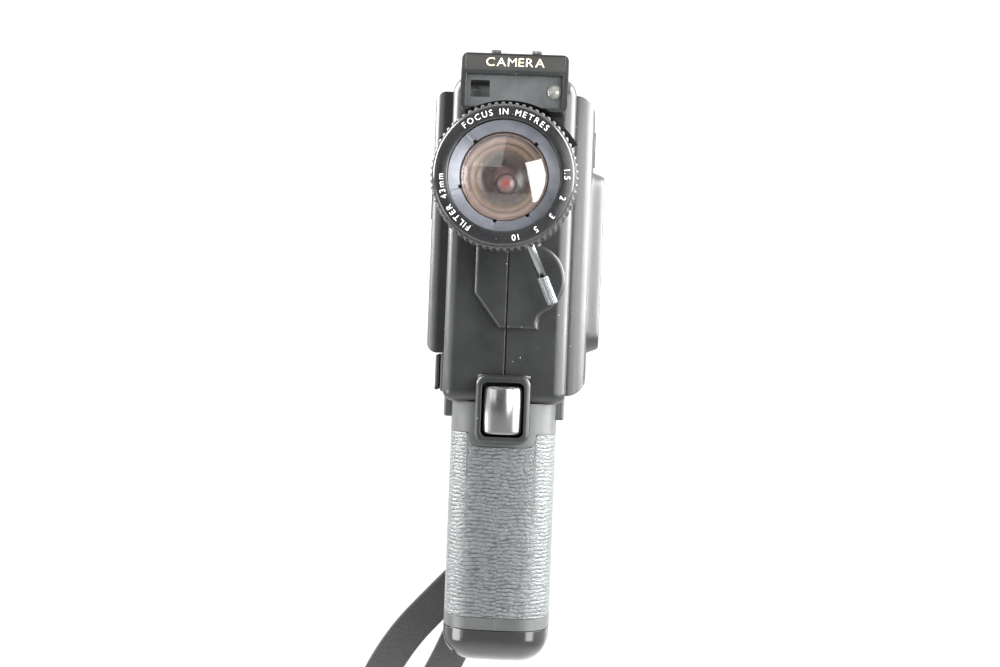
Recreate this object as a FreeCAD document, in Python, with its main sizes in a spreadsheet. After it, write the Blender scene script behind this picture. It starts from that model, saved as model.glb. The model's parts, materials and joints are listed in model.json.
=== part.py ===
import FreeCAD, Part
import math
import os
import Sketcher

# A hand-held sound cine camera for cartridge film, as an assembly of separate pieces.
# Frame: origin at the mouth of the tripod socket, on its axis. +Z is up, -Y is the way the
# lens looks, +X is the user's left hand side. Millimetres.

V = FreeCAD.Vector

# ---------------------------------------------------------------- driving dimensions
DRIVING = {
    # casing
    "body_front": -70, "body_rear": 50, "body_floor": 7, "body_top": 140,
    "core_half": 25, "side_half": 33.5, "side_front": -48, "side_top": 135,
    "left_floor": 10, "door_floor": 26, "bulge_half": 38.5, "bulge_low": 27,
    "bulge_high": 106, "bulge_front": -44, "bulge_rear": 40, "wall": 2,
    "core_round": 5, "side_round": 8.2, "cover_round": 4.6, "seam_width": 0.35,
    "seam_depth": 0.5, "boss_sweep": 5,
    # lens
    "lens_x": -2, "lens_z": 94.4, "lens_front": -116, "name_half": 26.5,
    "filter_half": 21.5, "focus_half": 28.1, "zoom_half": 26,
    "tube_half": 15, "boss_height": 4, "glass_half": 17.4,
    "lever_angle": 23.4, "lever_tip": 51.5,
    # finder housing
    "finder_half": 21.2, "finder_front": -84, "finder_low": 122.9, "finder_high": 145.9,
    "eye_x": -13.6, "eye_z": 131.7, "meter_x": 15.9, "meter_z": 131.1,
    "shoe_slot": 18.6, "shoe_front": -66, "arch_half": 33,
    # grip
    "grip_half": 22, "grip_front": -69, "grip_rear": -15, "grip_foot": -98.5,
    "collar_low": -84.9, "cover_low": -80.2, "cover_high": -5.4, "cover_skin": 0.9,
    # trigger
    "trigger_half": 7.85, "trigger_low": -5.4, "trigger_high": 14.1,
    "frame_half": 10.9, "frame_low": -9, "frame_high": 18.4, "frame_front": -78,
    # base
    "rail_inner": 18.5, "rail_outer": 25, "tripod_tap": 2.55, "tripod_deep": 6,
    # mechanism
    "cart_low": 34, "cart_high": 128, "cart_front": -36, "cart_rear": 39,
    "cart_out": -22, "cart_in": 2.1, "shutter_x": 10, "shutter_z": 84,
    "shutter_half": 20, "motor_z": 69, "capstan_y": -24, "capstan_z": 47,
    "spindle_y": 2, "spindle_z": 92,
    # door
    "door_hinge_x": -27.5, "door_hinge_y": 47, "door_round": 4.5,
    # mode dial
    "dial_half": 9, "dial_rise": 1.5, "dial_bar": 2.1,
    # strap
    "strap_width": 15, "strap_thick": 1.4, "strap_lean": 28, "lug_z": -50,
}


class Dim:
    """A length that carries its spreadsheet expression along with its value."""

    def __init__(self, text, value):
        self.text = text
        self.value = value

    def join(self, sign, other, value):
        return Dim(f"({self.text}{sign}{dim(other).text})", value)

    def __add__(self, other):
        return self.join("+", other, self.value + dim(other).value)

    def __sub__(self, other):
        return self.join("-", other, self.value - dim(other).value)

    def __mul__(self, other):
        return self.join("*", other, self.value * dim(other).value)

    def __truediv__(self, other):
        return self.join("/", other, self.value / dim(other).value)

    def __radd__(self, other):
        return dim(other) + self

    def __rsub__(self, other):
        return dim(other) - self

    def __neg__(self):
        return dim(0) - self


def dim(value):
    """A plain number as a Dim; a Dim as it is."""
    return value if isinstance(value, Dim) else Dim(f"({float(value):.6g})", float(value))


doc = FreeCAD.newDocument("cine_camera")


class Sizes:
    """The driving dimensions by name, as Dims that point at the sheet's cells."""


def fill_sheet():
    sheet = doc.addObject("Spreadsheet::Sheet", "params")
    sizes = Sizes()
    for row, (name, value) in enumerate(DRIVING.items(), start=1):
        sheet.set(f"A{row}", name)
        sheet.set(f"B{row}", str(value))
        sheet.setAlias(f"B{row}", name)
        setattr(sizes, name, Dim(f"params.{name}", float(value)))
    doc.recompute()
    return sizes


D = fill_sheet()
NODES = []
COUNT = {}


def unique(name):
    """name for the first object that asks for it, then name_2, name_3 and so on."""
    COUNT[name] = COUNT.get(name, 0) + 1
    return name if COUNT[name] == 1 else f"{name}_{COUNT[name]}"


def node(piece, label):
    """Marks a finished piece as a sub-part of its own, and gives it its name."""
    piece.Label = label
    NODES.append(piece)
    return piece


def bind(piece, prop, length):
    piece.setExpression(prop, dim(length).text)


def place(piece, x, y, z):
    for axis, length in zip("xyz", (x, y, z)):
        bind(piece, f"Placement.Base.{axis}", length)


# ---------------------------------------------------------------- primitives and booleans
def box(x, y, z, name="block"):
    """A block over three (low, high) ranges."""
    piece = doc.addObject("Part::Box", unique(name))
    for prop, (low, high) in zip(("Length", "Width", "Height"), (x, y, z)):
        bind(piece, prop, dim(high) - low)
    place(piece, x[0], y[0], z[0])
    return piece


TURN = {
    "X": FreeCAD.Rotation(V(0, 1, 0), 90),
    "Y": FreeCAD.Rotation(V(1, 0, 0), -90),
    "Z": FreeCAD.Rotation(),
}


def on_axis(axis, centre, start):
    """The point at start along an axis through centre, the other two coordinates."""
    first, second = centre
    points = {"X": (start, first, second), "Y": (first, start, second), "Z": (first, second, start)}
    return points[axis]


def rod(axis, centre, span, radius, name="rod"):
    """A round bar along X, Y or Z; centre holds the other two coordinates in order."""
    piece = doc.addObject("Part::Cylinder", unique(name))
    piece.Placement.Rotation = TURN[axis]
    bind(piece, "Radius", radius)
    bind(piece, "Height", dim(span[1]) - span[0])
    place(piece, *on_axis(axis, centre, span[0]))
    return piece


def fuse(*pieces):
    whole = doc.addObject("Part::MultiFuse", unique("join"))
    whole.Shapes = list(pieces)
    whole.Refine = True
    return whole


def common(*pieces):
    whole = doc.addObject("Part::MultiCommon", unique("overlap"))
    whole.Shapes = list(pieces)
    return whole


def cut(base, *tools):
    piece = doc.addObject("Part::Cut", unique("cut"))
    piece.Base = base
    piece.Tool = tools[0] if len(tools) == 1 else fuse(*tools)
    return piece


def group(*pieces):
    """Separate solids in one node."""
    whole = doc.addObject("Part::Compound", unique("set"))
    whole.Links = list(pieces)
    return whole


def fillet(base, radius, wanted):
    """Rounds the edges of base for which wanted(middle, direction, bounds) is true."""
    doc.recompute()
    bounds = base.Shape.optimalBoundingBox()
    picked = []
    for number, edge in enumerate(base.Shape.Edges, start=1):
        if edge.Degenerated:
            continue
        low, high = edge.ParameterRange
        middle = edge.valueAt((low + high) / 2)
        if wanted(middle, edge.tangentAt((low + high) / 2), bounds):
            picked.append((number, radius, radius))
    piece = doc.addObject("Part::Fillet", unique("fillet"))
    piece.Base = base
    piece.Edges = picked
    return piece


def near(a, b, within=0.05):
    return abs(a - b) < within


def along(axis):
    """Every edge that runs along one axis."""
    return lambda middle, direction, bounds: abs(direction["XYZ".index(axis)]) > 0.999


def every(middle, direction, bounds):
    return True


def tube(axis, centre, span, outer, inner):
    start, end = dim(span[0]), dim(span[1])
    return cut(rod(axis, centre, (start, end), outer), rod(axis, centre, (start - 1, end + 1), inner))


def rounded(x, y, z, radius, axis):
    """A block whose four edges along one axis are round."""
    return fillet(box(x, y, z), radius, along(axis))


# ---------------------------------------------------------------- sketched bodies
def origin_plane(body, role):
    return next(item for item in body.Origin.OriginFeatures if item.Role == role)


def sketch_outline(body, role, points):
    """A closed outline of straight lines whose corners are tied to the sheet."""
    sketch = body.newObject("Sketcher::SketchObject", unique("outline"))
    sketch.AttachmentSupport = [(origin_plane(body, role), "")]
    sketch.MapMode = "FlatFace"
    corners = [(dim(x), dim(y)) for x, y in points]
    count = len(corners)
    for number, (x, y) in enumerate(corners):
        next_x, next_y = corners[(number + 1) % count]
        line = Part.LineSegment(V(x.value, y.value, 0), V(next_x.value, next_y.value, 0))
        sketch.addGeometry(line, False)
    for number in range(count):
        sketch.addConstraint(Sketcher.Constraint("Coincident", number, 2, (number + 1) % count, 1))
    for number, corner in enumerate(corners):
        for kind, length in zip(("DistanceX", "DistanceY"), corner):
            made = sketch.addConstraint(Sketcher.Constraint(kind, -1, 1, number, 1, length.value))
            sketch.setExpression(f"Constraints[{made}]", length.text)
    return sketch


def turned(profile, x, z, name="turned"):
    """A body of revolution about the Y line through (x, z); profile is (radius, y) corners."""
    body = doc.addObject("PartDesign::Body", unique(name))
    sketch = sketch_outline(body, "XY_Plane", profile)
    turn = body.newObject("PartDesign::Revolution", unique("turn"))
    turn.Profile = sketch
    turn.ReferenceAxis = (sketch, ["V_Axis"])
    turn.Angle = 360
    place(body, x, 0, z)
    return body


def extruded(role, points, length, name="extruded"):
    """A pad of a straight-sided outline, away from an origin plane."""
    body = doc.addObject("PartDesign::Body", unique(name))
    sketch = sketch_outline(body, role, points)
    pad = body.newObject("PartDesign::Pad", unique("pad"))
    pad.Profile = sketch
    bind(pad, "Length", length)
    return body


def toothed(axis_point, span, pitch_radius, teeth, bore, spin=0):
    """A spur wheel of module 1 about Y, its teeth slimmed so that it runs with backlash."""
    body = doc.addObject("PartDesign::Body", unique("wheel"))
    blank = sketch_outline(body, "XY_Plane", [
        (bore, span[0]), (dim(pitch_radius) + 0.8, span[0]),
        (dim(pitch_radius) + 0.8, span[1]), (bore, span[1])])
    turn = body.newObject("PartDesign::Revolution", unique("turn"))
    turn.Profile = blank
    turn.ReferenceAxis = (blank, ["V_Axis"])
    turn.Angle = 360
    doc.recompute()
    root, tip = dim(pitch_radius) - 1.15, dim(pitch_radius) + 1.2
    gap = sketch_outline(body, "XZ_Plane", [(0.62, root), (1.42, tip), (-1.42, tip), (-0.62, root)])
    pocket = body.newObject("PartDesign::Pocket", unique("gap"))
    pocket.Profile = gap
    pocket.Type = 1
    pocket.Midplane = True
    doc.recompute()
    ring = body.newObject("PartDesign::PolarPattern", unique("teeth"))
    ring.Originals = [pocket]
    ring.Axis = (origin_axis(body, "Y_Axis"), [""])
    ring.Angle = 360
    ring.Occurrences = teeth
    body.Tip = ring
    body.Placement.Rotation = FreeCAD.Rotation(V(0, 1, 0), spin)
    place(body, axis_point[0], 0, axis_point[1])
    return body


def origin_axis(body, role):
    return next(item for item in body.Origin.OriginFeatures if item.Role == role)


def turned_angle(length):
    """sin and cos of an angle in degrees, as Dims."""
    radians = math.radians(length.value)
    return Dim(f"sin({length.text})", math.sin(radians)), Dim(f"cos({length.text})", math.cos(radians))


def ball(centre, radius):
    piece = doc.addObject("Part::Sphere", unique("ball"))
    bind(piece, "Radius", radius)
    place(piece, *centre)
    return piece


# ---------------------------------------------------------------- casing
LENS = (D.lens_x, D.lens_z)
EYE = (D.eye_x, D.eye_z)
METER = (D.meter_x, D.meter_z)
COUNTER = (dim(14), dim(106))
DIAL = (dim(16), dim(120))
JACKS, JACK_Z = (-34, -16, 2), 18


def casing_form(inset):
    """The body's outer form without the raised lens panel, drawn in by inset all round."""
    low, high = D.body_floor + inset, D.body_top - inset
    front, rear = D.body_front + inset, D.body_rear - inset
    core = box((inset - D.core_half, D.core_half - inset), (front, rear), (low, high))
    core = fillet(core, DRIVING["core_round"] - inset, lambda middle, direction, bounds:
                  abs(direction.z) > 0.999 and near(middle.y, bounds.YMin))
    core = fillet(core, 8 - inset, lambda middle, direction, bounds:
                  abs(direction.y) > 0.999 and near(middle.z, bounds.ZMax))
    core = fillet(core, 4.5 - inset, lambda middle, direction, bounds:
                  near(middle.z, bounds.ZMin) and abs(direction.y) < 0.999 and middle.y < bounds.YMin + 6)
    side = box((20, D.side_half - inset), (D.side_front + inset, rear),
               (D.left_floor + inset, D.side_top - inset))
    side = fillet(side, DRIVING["side_round"] - inset, lambda middle, direction, bounds:
                  near(middle.x, bounds.XMax) and middle.y < bounds.YMax - 0.1)
    return fuse(core, side)


def lens_panel(inset):
    """The raised panel round the lens, standing off the front wall."""
    depth = D.boss_height - inset
    outline = [(-13.1, 94), (-13.1, 50.9), (-2.6, 37), (12.7, 37), (12.7, 94)]
    flat = extruded("XZ_Plane", outline, depth)
    place(flat, 0, D.body_front, 0)
    span = (D.body_front - depth, D.body_front)
    whole = fuse(flat, rod("Y", (8.6, 57), span, 14.5), rod("Y", LENS, span, 27))
    return fillet(whole, DRIVING["boss_sweep"], lambda middle, direction, bounds:
                  abs(direction.y) > 0.999 and near(middle.x, 12.7) and 40 < middle.z < 46)


def softened_panel():
    return fillet(lens_panel(0), 1.4, lambda middle, direction, bounds: near(middle.y, bounds.YMin))


outer_form = fuse(casing_form(0), softened_panel())
seam_depth = DRIVING["seam_depth"]
seam_floor = fuse(casing_form(seam_depth), lens_panel(seam_depth))
seam = cut(box((D.seam_width / -2, D.seam_width / 2), (-80, 60), (0, 150)), seam_floor)
finder_path = box((D.eye_x - 4.9, D.eye_x + 4.9), (-90, 60), (D.eye_z - 3, D.eye_z + 3))
screw_spots = [(-40, 17), (-40, 128), (43, 17), (43, 128)]


def casing_shell():
    hollow = cut(outer_form, casing_form(DRIVING["wall"]))
    openings = [
        rod("Y", LENS, (-75, -67), D.tube_half + 0.1),
        finder_path,
        rod("Y", EYE, (47, 51), 9),
        box((-D.frame_half, D.frame_half), (-75, -60), (0, D.frame_high)),
        rod("Z", (0, 0), (5, 10), 6),
        box((COUNTER[0] - 3, COUNTER[0] + 3), (47, 51), (COUNTER[1] + 3, COUNTER[1] + 7)),
        seam,
    ]
    return cut(hollow, *openings)


shell = casing_shell()
far = 60
right_side = box((-far, 0), (-90, far), (-20, 160))
left_side = box((0, far), (-90, far), (-20, 160))


def hinge_bracket():
    """The fixed knuckles of the film door's hinge, with their webs."""
    pieces = []
    for low, high in ((58.4, 66), (95, 102.6)):
        depth = (D.door_hinge_y - 2, D.door_hinge_y + 2.5)
        pieces.append(box((D.door_hinge_x, 0.1 - D.core_half), depth, (low, high)))
        pieces.append(rod("Z", (D.door_hinge_x, D.door_hinge_y), (low, high), 2.5))
    return pieces


def make_casing_right():
    half = common(shell, right_side)
    jack_block = fillet(box((-27.5, 0.1 - D.core_half), (-46, 14), (9.9, 26)), 1.5,
                        lambda middle, direction, bounds: near(middle.x, bounds.XMin))
    half = fuse(half, jack_block, *hinge_bracket())
    loading = box((-30, D.cart_out - 0.1), (-38, 42), (30, 131))
    pin_hole = rod("Z", (D.door_hinge_x, D.door_hinge_y), (50, 110), 1)
    jacks = [rod("X", (y, JACK_Z), (-30, -20), 3) for y in JACKS]
    node(cut(half, loading, pin_hole, *jacks), "casing_right")


def make_casing_left():
    half = common(shell, left_side)
    flywheel_room = box((20, far), (-41, 37), (30, 103))
    counter_post = rod("Y", COUNTER, (43, 48.5), 1)
    recesses = [rod("X", (y, z), (D.side_half - 1.3, D.side_half + 1), 2.3) for y, z in screw_spots]
    shanks = [rod("X", (y, z), (20, D.side_half), 1.2) for y, z in screw_spots]
    dial_hole = rod("X", DIAL, (20, far), 2.05)
    half = fuse(half, counter_post)
    node(cut(half, flywheel_room, dial_hole, *recesses, *shanks), "casing_left")


def make_side_cover():
    block = box((D.side_half, D.bulge_half), (D.bulge_front, D.bulge_rear), (D.bulge_low, D.bulge_high))
    block = fillet(block, 8, lambda middle, direction, bounds: abs(direction.x) > 0.999)
    block = fillet(block, DRIVING["cover_round"], lambda middle, direction, bounds:
                   near(middle.x, bounds.XMax))
    room = box((D.side_half - 1, D.bulge_half - 2), (D.bulge_front + 3, D.bulge_rear - 3),
               (D.bulge_low + 3, D.bulge_high - 3))
    node(cut(block, room), "side_cover")


def make_case_screws():
    heads = []
    for y, z in screw_spots:
        head = rod("X", (y, z), (D.side_half - 1.3, D.side_half - 0.2), 2.2)
        slot = box((D.side_half - 0.7, D.side_half), (y - 2.3, y + 2.3), (z - 0.3, z + 0.3))
        heads.append(fuse(cut(head, slot), rod("X", (y, z), (D.side_half - 5, D.side_half - 1.3), 1.2)))
    node(group(*heads), "case_screws")


# ---------------------------------------------------------------- finder housing
PANEL_X, PANEL_Z, PANEL_BACK = (-19, 19), (124.4, 137.2), -80


def make_finder():
    half, front, low, high = D.finder_half, D.finder_front, D.finder_low, D.finder_high
    side_view = [(front, low), (front, high - 7.3), (front + 2.7, high), (D.body_rear - 1, high),
                 (D.body_rear - 1, D.body_top - 10), (D.body_front, D.body_top - 10), (D.body_front, low)]
    block = extruded("YZ_Plane", side_view, half * 2)
    place(block, -half, 0, 0)
    block = fillet(block, 2.5, lambda middle, direction, bounds:
                   abs(abs(middle.x) - bounds.XMax) < 0.01
                   and (near(middle.z, bounds.ZMax) or near(middle.z, bounds.ZMin)))
    arch = rod("Y", LENS, (-90, -60), D.arch_half)
    recess = box(PANEL_X, (-90, PANEL_BACK), PANEL_Z)
    foot, head = high - 6.6, high - 0.6
    step = [(front - 1, foot), (front + 1.03, foot), (front + 3.3, head), (front - 1, head)]
    band = extruded("YZ_Plane", step, 39)
    place(band, -19.5, 0, 0)
    room = box((-19, 19), (-78.5, 46), (D.lens_z + D.arch_half + 2, high - 2))
    housing = cut(block, casing_form(0), arch, recess, band, room, finder_path, rod("Y", EYE, (47, 60), 9))
    node(housing, "finder_housing")


def make_name_plate():
    front, high = D.finder_front, D.finder_high
    outline = [(front + 0.33, high - 6.6), (front + 1.03, high - 6.6), (front + 3.3, high - 0.6),
               (front + 2.6, high - 0.6)]
    plate = extruded("YZ_Plane", outline, 39)
    place(plate, -19.5, 0, 0)
    node(plate, "name_plate")


def make_finder_panel():
    panel = box(PANEL_X, (PANEL_BACK - 1.5, PANEL_BACK), PANEL_Z)
    window = box((D.eye_x - 3.8, D.eye_x + 3.8), (-85, -75), (D.eye_z - 3.3, D.eye_z + 3.3))
    meter = rod("Y", METER, (-85, -75), 2.95)
    node(cut(panel, window, meter, rod("Y", LENS, (-90, -60), D.arch_half)), "finder_front_panel")
    node(box((D.eye_x - 3.8, D.eye_x + 3.8), (-81.1, -80.1), (D.eye_z - 3.3, D.eye_z + 3.3)), "finder_window")
    dome = common(rod("Y", METER, (-83.4, -80), 2.95), ball((D.meter_x, -79.6, D.meter_z), 3.8))
    node(dome, "meter_window")


def make_shoe():
    high, half = D.finder_high, D.shoe_slot / 2
    edge = half + 0.95
    outer = rounded((-edge, edge), (D.shoe_front, D.shoe_front + 20), (high, high + 4), 0.8, "Y")
    slot = box((-half, half), (D.shoe_front - 1, D.shoe_front + 18.5), (high + 1, high + 3))
    gap = box((-6.3, 6.3), (D.shoe_front - 1, D.shoe_front + 18.5), (high + 2, high + 5))
    node(cut(outer, slot, gap), "accessory_shoe")


def make_eyepiece():
    barrel = tube("Y", EYE, (48, 62), 9, 7)
    node(barrel, "eyepiece_tube")
    lens = common(rod("Y", EYE, (52, 56), 7), ball((EYE[0], 42, EYE[1]), 13.5))
    node(lens, "eyepiece_lens")
    ring = tube("Y", EYE, (51, 57), 10.6, 9.05)
    node(ring, "diopter_ring")
    cup = turned([(9, 57.5), (11, 57.5), (11, 60), (14, 70), (13, 70.6), (9.8, 62.4), (9, 62)], *EYE)
    node(cup, "eyecup")


# ---------------------------------------------------------------- lens
def make_lens():
    barrel = turned([(17, -104), (19, -104), (19, -84.2), (25, -84.2), (25, -74), (15, -74), (15, -53),
                     (13, -53), (13, -85.5), (17, -85.5)], *LENS)
    node(barrel, "lens_barrel")
    ring = turned([(19.1, -95), (25.2, -95), (D.zoom_half, -94.2), (D.zoom_half, -85.2), (25.2, -84.5),
                   (19.1, -84.5)], *LENS)
    sine, cosine = turned_angle(D.lever_angle)

    def lever_bar(start, end, radius):
        bar = doc.addObject("Part::Cylinder", unique("lever"))
        bar.Placement.Rotation = FreeCAD.Rotation(V(0, 1, 0), 180 - DRIVING["lever_angle"])
        bind(bar, "Radius", radius)
        bind(bar, "Height", dim(end) - start)
        place(bar, D.lens_x + sine * start, -90.5, D.lens_z - cosine * start)
        return bar

    node(cut(ring, lever_bar(22, 40, 1.7)), "zoom_ring")
    grip_from = D.lever_tip - 11.4
    sleeve = fillet(lever_bar(grip_from, D.lever_tip, 2.1), 0.4, every)
    node(fuse(lever_bar(22, grip_from, 1.7), sleeve), "zoom_lever")
    focus = turned([(19.1, -95.4), (D.focus_half, -95.4), (D.focus_half, -112), (24, -112),
                    (24, -106), (19.1, -106)], *LENS)
    node(focus, "focus_ring")
    bore, front = D.filter_half - 0.4, D.lens_front
    seat, shoulder = bore + 1.2, front + 4
    name = turned([(bore, front), (D.name_half - 0.6, front), (D.name_half, front + 0.6), (D.name_half, -112),
                   (24, -112), (24, -106), (seat, -106), (seat, shoulder), (bore, shoulder)], *LENS)
    node(name, "name_ring")
    retainer = turned([(D.glass_half - 0.6, -110.6), (seat, shoulder + 0.3), (seat, -108),
                       (D.glass_half - 0.6, -108)], *LENS)
    node(retainer, "front_retainer")
    crown = common(rod("Y", LENS, (-111, -106.1), D.glass_half - 0.7), ball((D.lens_x, -66, D.lens_z), 44))
    node(fuse(rod("Y", LENS, (-107.9, -106.1), seat - 0.1), crown), "front_element")
    node(turned([(9, -84), (12.8, -84), (12.8, -76), (9, -76)], *LENS), "variator_group")
    rear = common(rod("Y", LENS, (-65, -55), 13), ball((D.lens_x, -45, D.lens_z), 22))
    node(rear, "rear_element")


# ---------------------------------------------------------------- mechanism
SHUTTER = (D.shutter_x, D.shutter_z)
MOTOR = (D.shutter_x, D.motor_z)
CAPSTAN = (D.capstan_y, D.capstan_z)
SPINDLE = (D.spindle_y, D.spindle_z)
ROLLER = (D.capstan_y - 5.4, D.capstan_z)
SOUND_MOTOR = (dim(20), D.capstan_z)
VANE = (dim(14), dim(110))


def make_mechanism():
    plate = box((-23, 23), (-45.5, -43.5), (36, 126))
    plate = cut(plate, rod("Y", SHUTTER, (-50, -40), 1.55), rod("Y", LENS, (-50, -40), 8))
    plate = fuse(plate, rod("Y", VANE, (-53, -45.5), 1))
    wall = fuse(box((3, 5), (-38, 46), (62, 127)), box((3, 5), (-43.5, 46), (34, 62)))
    holes = [rod("X", CAPSTAN, (0, 9), 1.3), rod("X", SPINDLE, (0, 9), 3.05)]
    frame = fuse(plate, cut(wall, *holes), rod("X", ROLLER, (-8, 3), 1))
    node(frame, "mechanism_frame")
    gate = box((-14, 3), (-39, -37.5), (80, 112))
    aperture = box((D.lens_x - 2.9, D.lens_x + 2.9), (-45, -30), (D.lens_z - 2.1, D.lens_z + 2.1))
    claw_slot = box((-7.5, -5.7), (-45, -30), (82, 91))
    node(cut(gate, aperture, claw_slot), "film_gate")
    claw = fuse(box((-8.2, -5), (-40.9, -39.2), (66, 86)), box((-7.1, -6.1), (-40, -36.6), (84, 85)))
    node(claw, "film_claw")


def make_shutter():
    disc = rod("Y", SHUTTER, (-42, -41.3), D.shutter_half)
    window = cut(box((-20, D.shutter_x - 3), (-45, -40), (D.shutter_z + 1, D.shutter_z + 30)),
                 rod("Y", SHUTTER, (-50, -30), 8))
    node(cut(disc, window, rod("Y", SHUTTER, (-45, -40), 1.5)), "shutter_disc")
    shaft = rod("Y", SHUTTER, (-49.5, -41.3), 1.5)
    node(fuse(toothed(SHUTTER, (-49.5, -46.5), 10, 20, 1, 9), shaft), "shutter_gear")
    pinion = toothed(MOTOR, (-49.5, -46.5), 5, 10, 0.5)
    node(fuse(pinion, rod("Y", MOTOR, (-60, -46.5), 1)), "motor_pinion")
    motor = fillet(rod("Y", MOTOR, (-67.9, -50.5), 10), 1, every)
    node(cut(motor, rod("Y", MOTOR, (-62, -50), 1.05)), "shutter_motor")
    arm = box((D.lens_x - 5, VANE[0]), (-51.7, -51), (VANE[1] - 9, VANE[1]))
    blade = rod("Y", (VANE[0] - 20, VANE[1] - 10), (-51.7, -51), 6)
    vane = fuse(common(arm, rod("Y", VANE, (-60, -40), 26)), rod("Y", VANE, (-51.7, -51), 3), blade)
    node(cut(vane, rod("Y", VANE, (-55, -50), 1.05)), "exposure_vane")


def make_sound():
    wheel = fuse(rod("X", CAPSTAN, (29.5, 34.5), 15), rod("X", CAPSTAN, (26, 29.5), 6),
                 rod("X", CAPSTAN, (-7, 35), 1.25), rod("X", CAPSTAN, (6, 9), 4))
    node(cut(wheel, tube("X", CAPSTAN, (26.6, 28.6), 8, 5)), "capstan_flywheel")
    node(tube("X", ROLLER, (-7, 2.6), 4, 1.05), "pinch_roller")
    node(box((-6, 3), (-34, -29), (53, 59)), "sound_head")
    hub = rod("X", SPINDLE, (-3, 12), 3)
    ribs = [box((-3, 0), (D.spindle_y - 4, D.spindle_y + 4), (D.spindle_z - 0.6, D.spindle_z + 0.6))]
    node(fuse(hub, rod("X", SPINDLE, (6, 9), 9), *ribs), "takeup_spindle")
    motor = fillet(rod("X", SOUND_MOTOR, (5, 24), 9), 1, every)
    node(cut(motor, rod("X", SOUND_MOTOR, (15, 25), 1.05)), "capstan_motor")
    pinion = fuse(rod("X", SOUND_MOTOR, (16, 28.6), 1), rod("X", SOUND_MOTOR, (26.4, 28.8), 3))
    node(cut(pinion, tube("X", SOUND_MOTOR, (26.8, 28.4), 5, 2.5)), "capstan_pulley")


def belt(name, x_span, first, first_radius, second, second_radius, thick):
    """A closed belt round two pulleys on X axes: the hull of two discs, less the hull inside."""
    shape_of = doc.addObject("Part::Feature", unique(name))
    centre_a = V(x_span[0], first[0].value, first[1].value)
    centre_b = V(x_span[0], second[0].value, second[1].value)

    def hull(grow):
        radius_a, radius_b = first_radius + grow, second_radius + grow
        way = centre_b - centre_a
        lean = math.asin((radius_a - radius_b) / way.Length)
        ahead = V(way).normalize()
        side = V(1, 0, 0).cross(ahead)
        up = side * math.cos(lean) + ahead * math.sin(lean)
        down = side * -math.cos(lean) + ahead * math.sin(lean)
        a_up, a_down = centre_a + up * radius_a, centre_a + down * radius_a
        b_up, b_down = centre_b + up * radius_b, centre_b + down * radius_b
        edges = [
            Part.LineSegment(a_up, b_up).toShape(),
            Part.Arc(b_up, centre_b + ahead * radius_b, b_down).toShape(),
            Part.LineSegment(b_down, a_down).toShape(),
            Part.Arc(a_down, centre_a - ahead * radius_a, a_up).toShape(),
        ]
        return Part.Face(Part.Wire(edges)).extrude(V(x_span[1] - x_span[0], 0, 0))

    shape_of.Shape = hull(thick).cut(hull(0))
    return shape_of


def make_belts():
    takeup = belt("takeup", (7, 8), CAPSTAN, 4.1, SPINDLE, 9.1, 0.8)
    drive = belt("drive", (27.1, 28.1), CAPSTAN, 5.1, SOUND_MOTOR, 2.6, 0.7)
    node(group(takeup, drive), "drive_belts")


def make_cartridge():
    block = rounded((D.cart_out, D.cart_in), (D.cart_front, D.cart_rear), (D.cart_low, D.cart_high), 3, "X")
    notch = box((-8, D.cart_in + 1), (D.cart_front - 1, -18), (40, 62))
    core = rod("X", SPINDLE, (-6, D.cart_in + 1), 5)
    mouth = box((D.lens_x - 6.5, D.cart_in + 1), (D.cart_front - 1, D.cart_front + 1.5), (82, 104))
    node(cut(block, notch, core, mouth), "film_cartridge")


def make_electronics():
    board = box((26, 27.6), (-10, 44), (66, 128))
    chips = [box((24, 26), (y, y + 9), (z, z + 16)) for y, z in ((-4, 74), (12, 74), (28, 74), (-4, 100))]
    node(fuse(cut(board, rod("X", DIAL, (20, 30), 5)), *chips), "circuit_board")
    node(tube("Y", COUNTER, (45, 47.2), 8, 1.05), "counter_dial")
    face = D.side_half + D.dial_rise
    knob = fillet(rod("X", DIAL, (D.side_half, face), D.dial_half), 0.6, lambda middle, direction, bounds:
                  near(middle.x, bounds.XMax))
    reach = D.dial_half - 1
    bar = rounded((face - 0.4, D.side_half + D.dial_bar), (DIAL[0] - 1.5, DIAL[0] + 1.5),
                  (DIAL[1] - reach, DIAL[1] + reach), 1.2, "X")
    spindle = rod("X", DIAL, (28, D.side_half), 2)
    stop = rod("X", DIAL, (29, 31), 4)
    node(fuse(knob, bar, spindle, stop), "mode_dial")


# ---------------------------------------------------------------- film door
DOOR_WINDOW = (5, 20), (75, 105)


def make_door():
    block = box((-D.side_half, -0.3 - D.core_half), (D.side_front, 44), (D.door_floor, D.side_top))
    block = fillet(block, DRIVING["door_round"], lambda middle, direction, bounds:
                   near(middle.x, bounds.XMin))
    room = box((2 - D.side_half, 1 - D.core_half), (D.side_front + 2, 42), (D.door_floor + 2, D.side_top - 2))
    window = box((-40, -30), *DOOR_WINDOW)
    latch_slot = box((-40, -30), (-40, -34), (82, 103))
    leaves = []
    for low, high in ((40, 58), (103, 121)):
        leaves.append(box((D.door_hinge_x - 2.5, D.door_hinge_x), (43, D.door_hinge_y), (low, high)))
        leaves.append(rod("Z", (D.door_hinge_x, D.door_hinge_y), (low, high), 2.5))
    bore = rod("Z", (D.door_hinge_x, D.door_hinge_y), (30, 130), 1.05)
    node(cut(fuse(cut(block, room, window, latch_slot), *leaves), bore), "film_door")
    node(box((0.2 - D.side_half, 1.8 - D.side_half), *DOOR_WINDOW), "door_window")
    node(rod("Z", (D.door_hinge_x, D.door_hinge_y), (39.5, 121.5), 1), "door_hinge_pin")
    knob = fuse(box((-D.side_half - 0.6, 3.4 - D.side_half), (-39.8, -34.2), (82.3, 97.3)),
                box((2.1 - D.side_half, 3.4 - D.side_half), (-42, -32), (80, 99)))
    node(knob, "door_latch")


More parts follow.
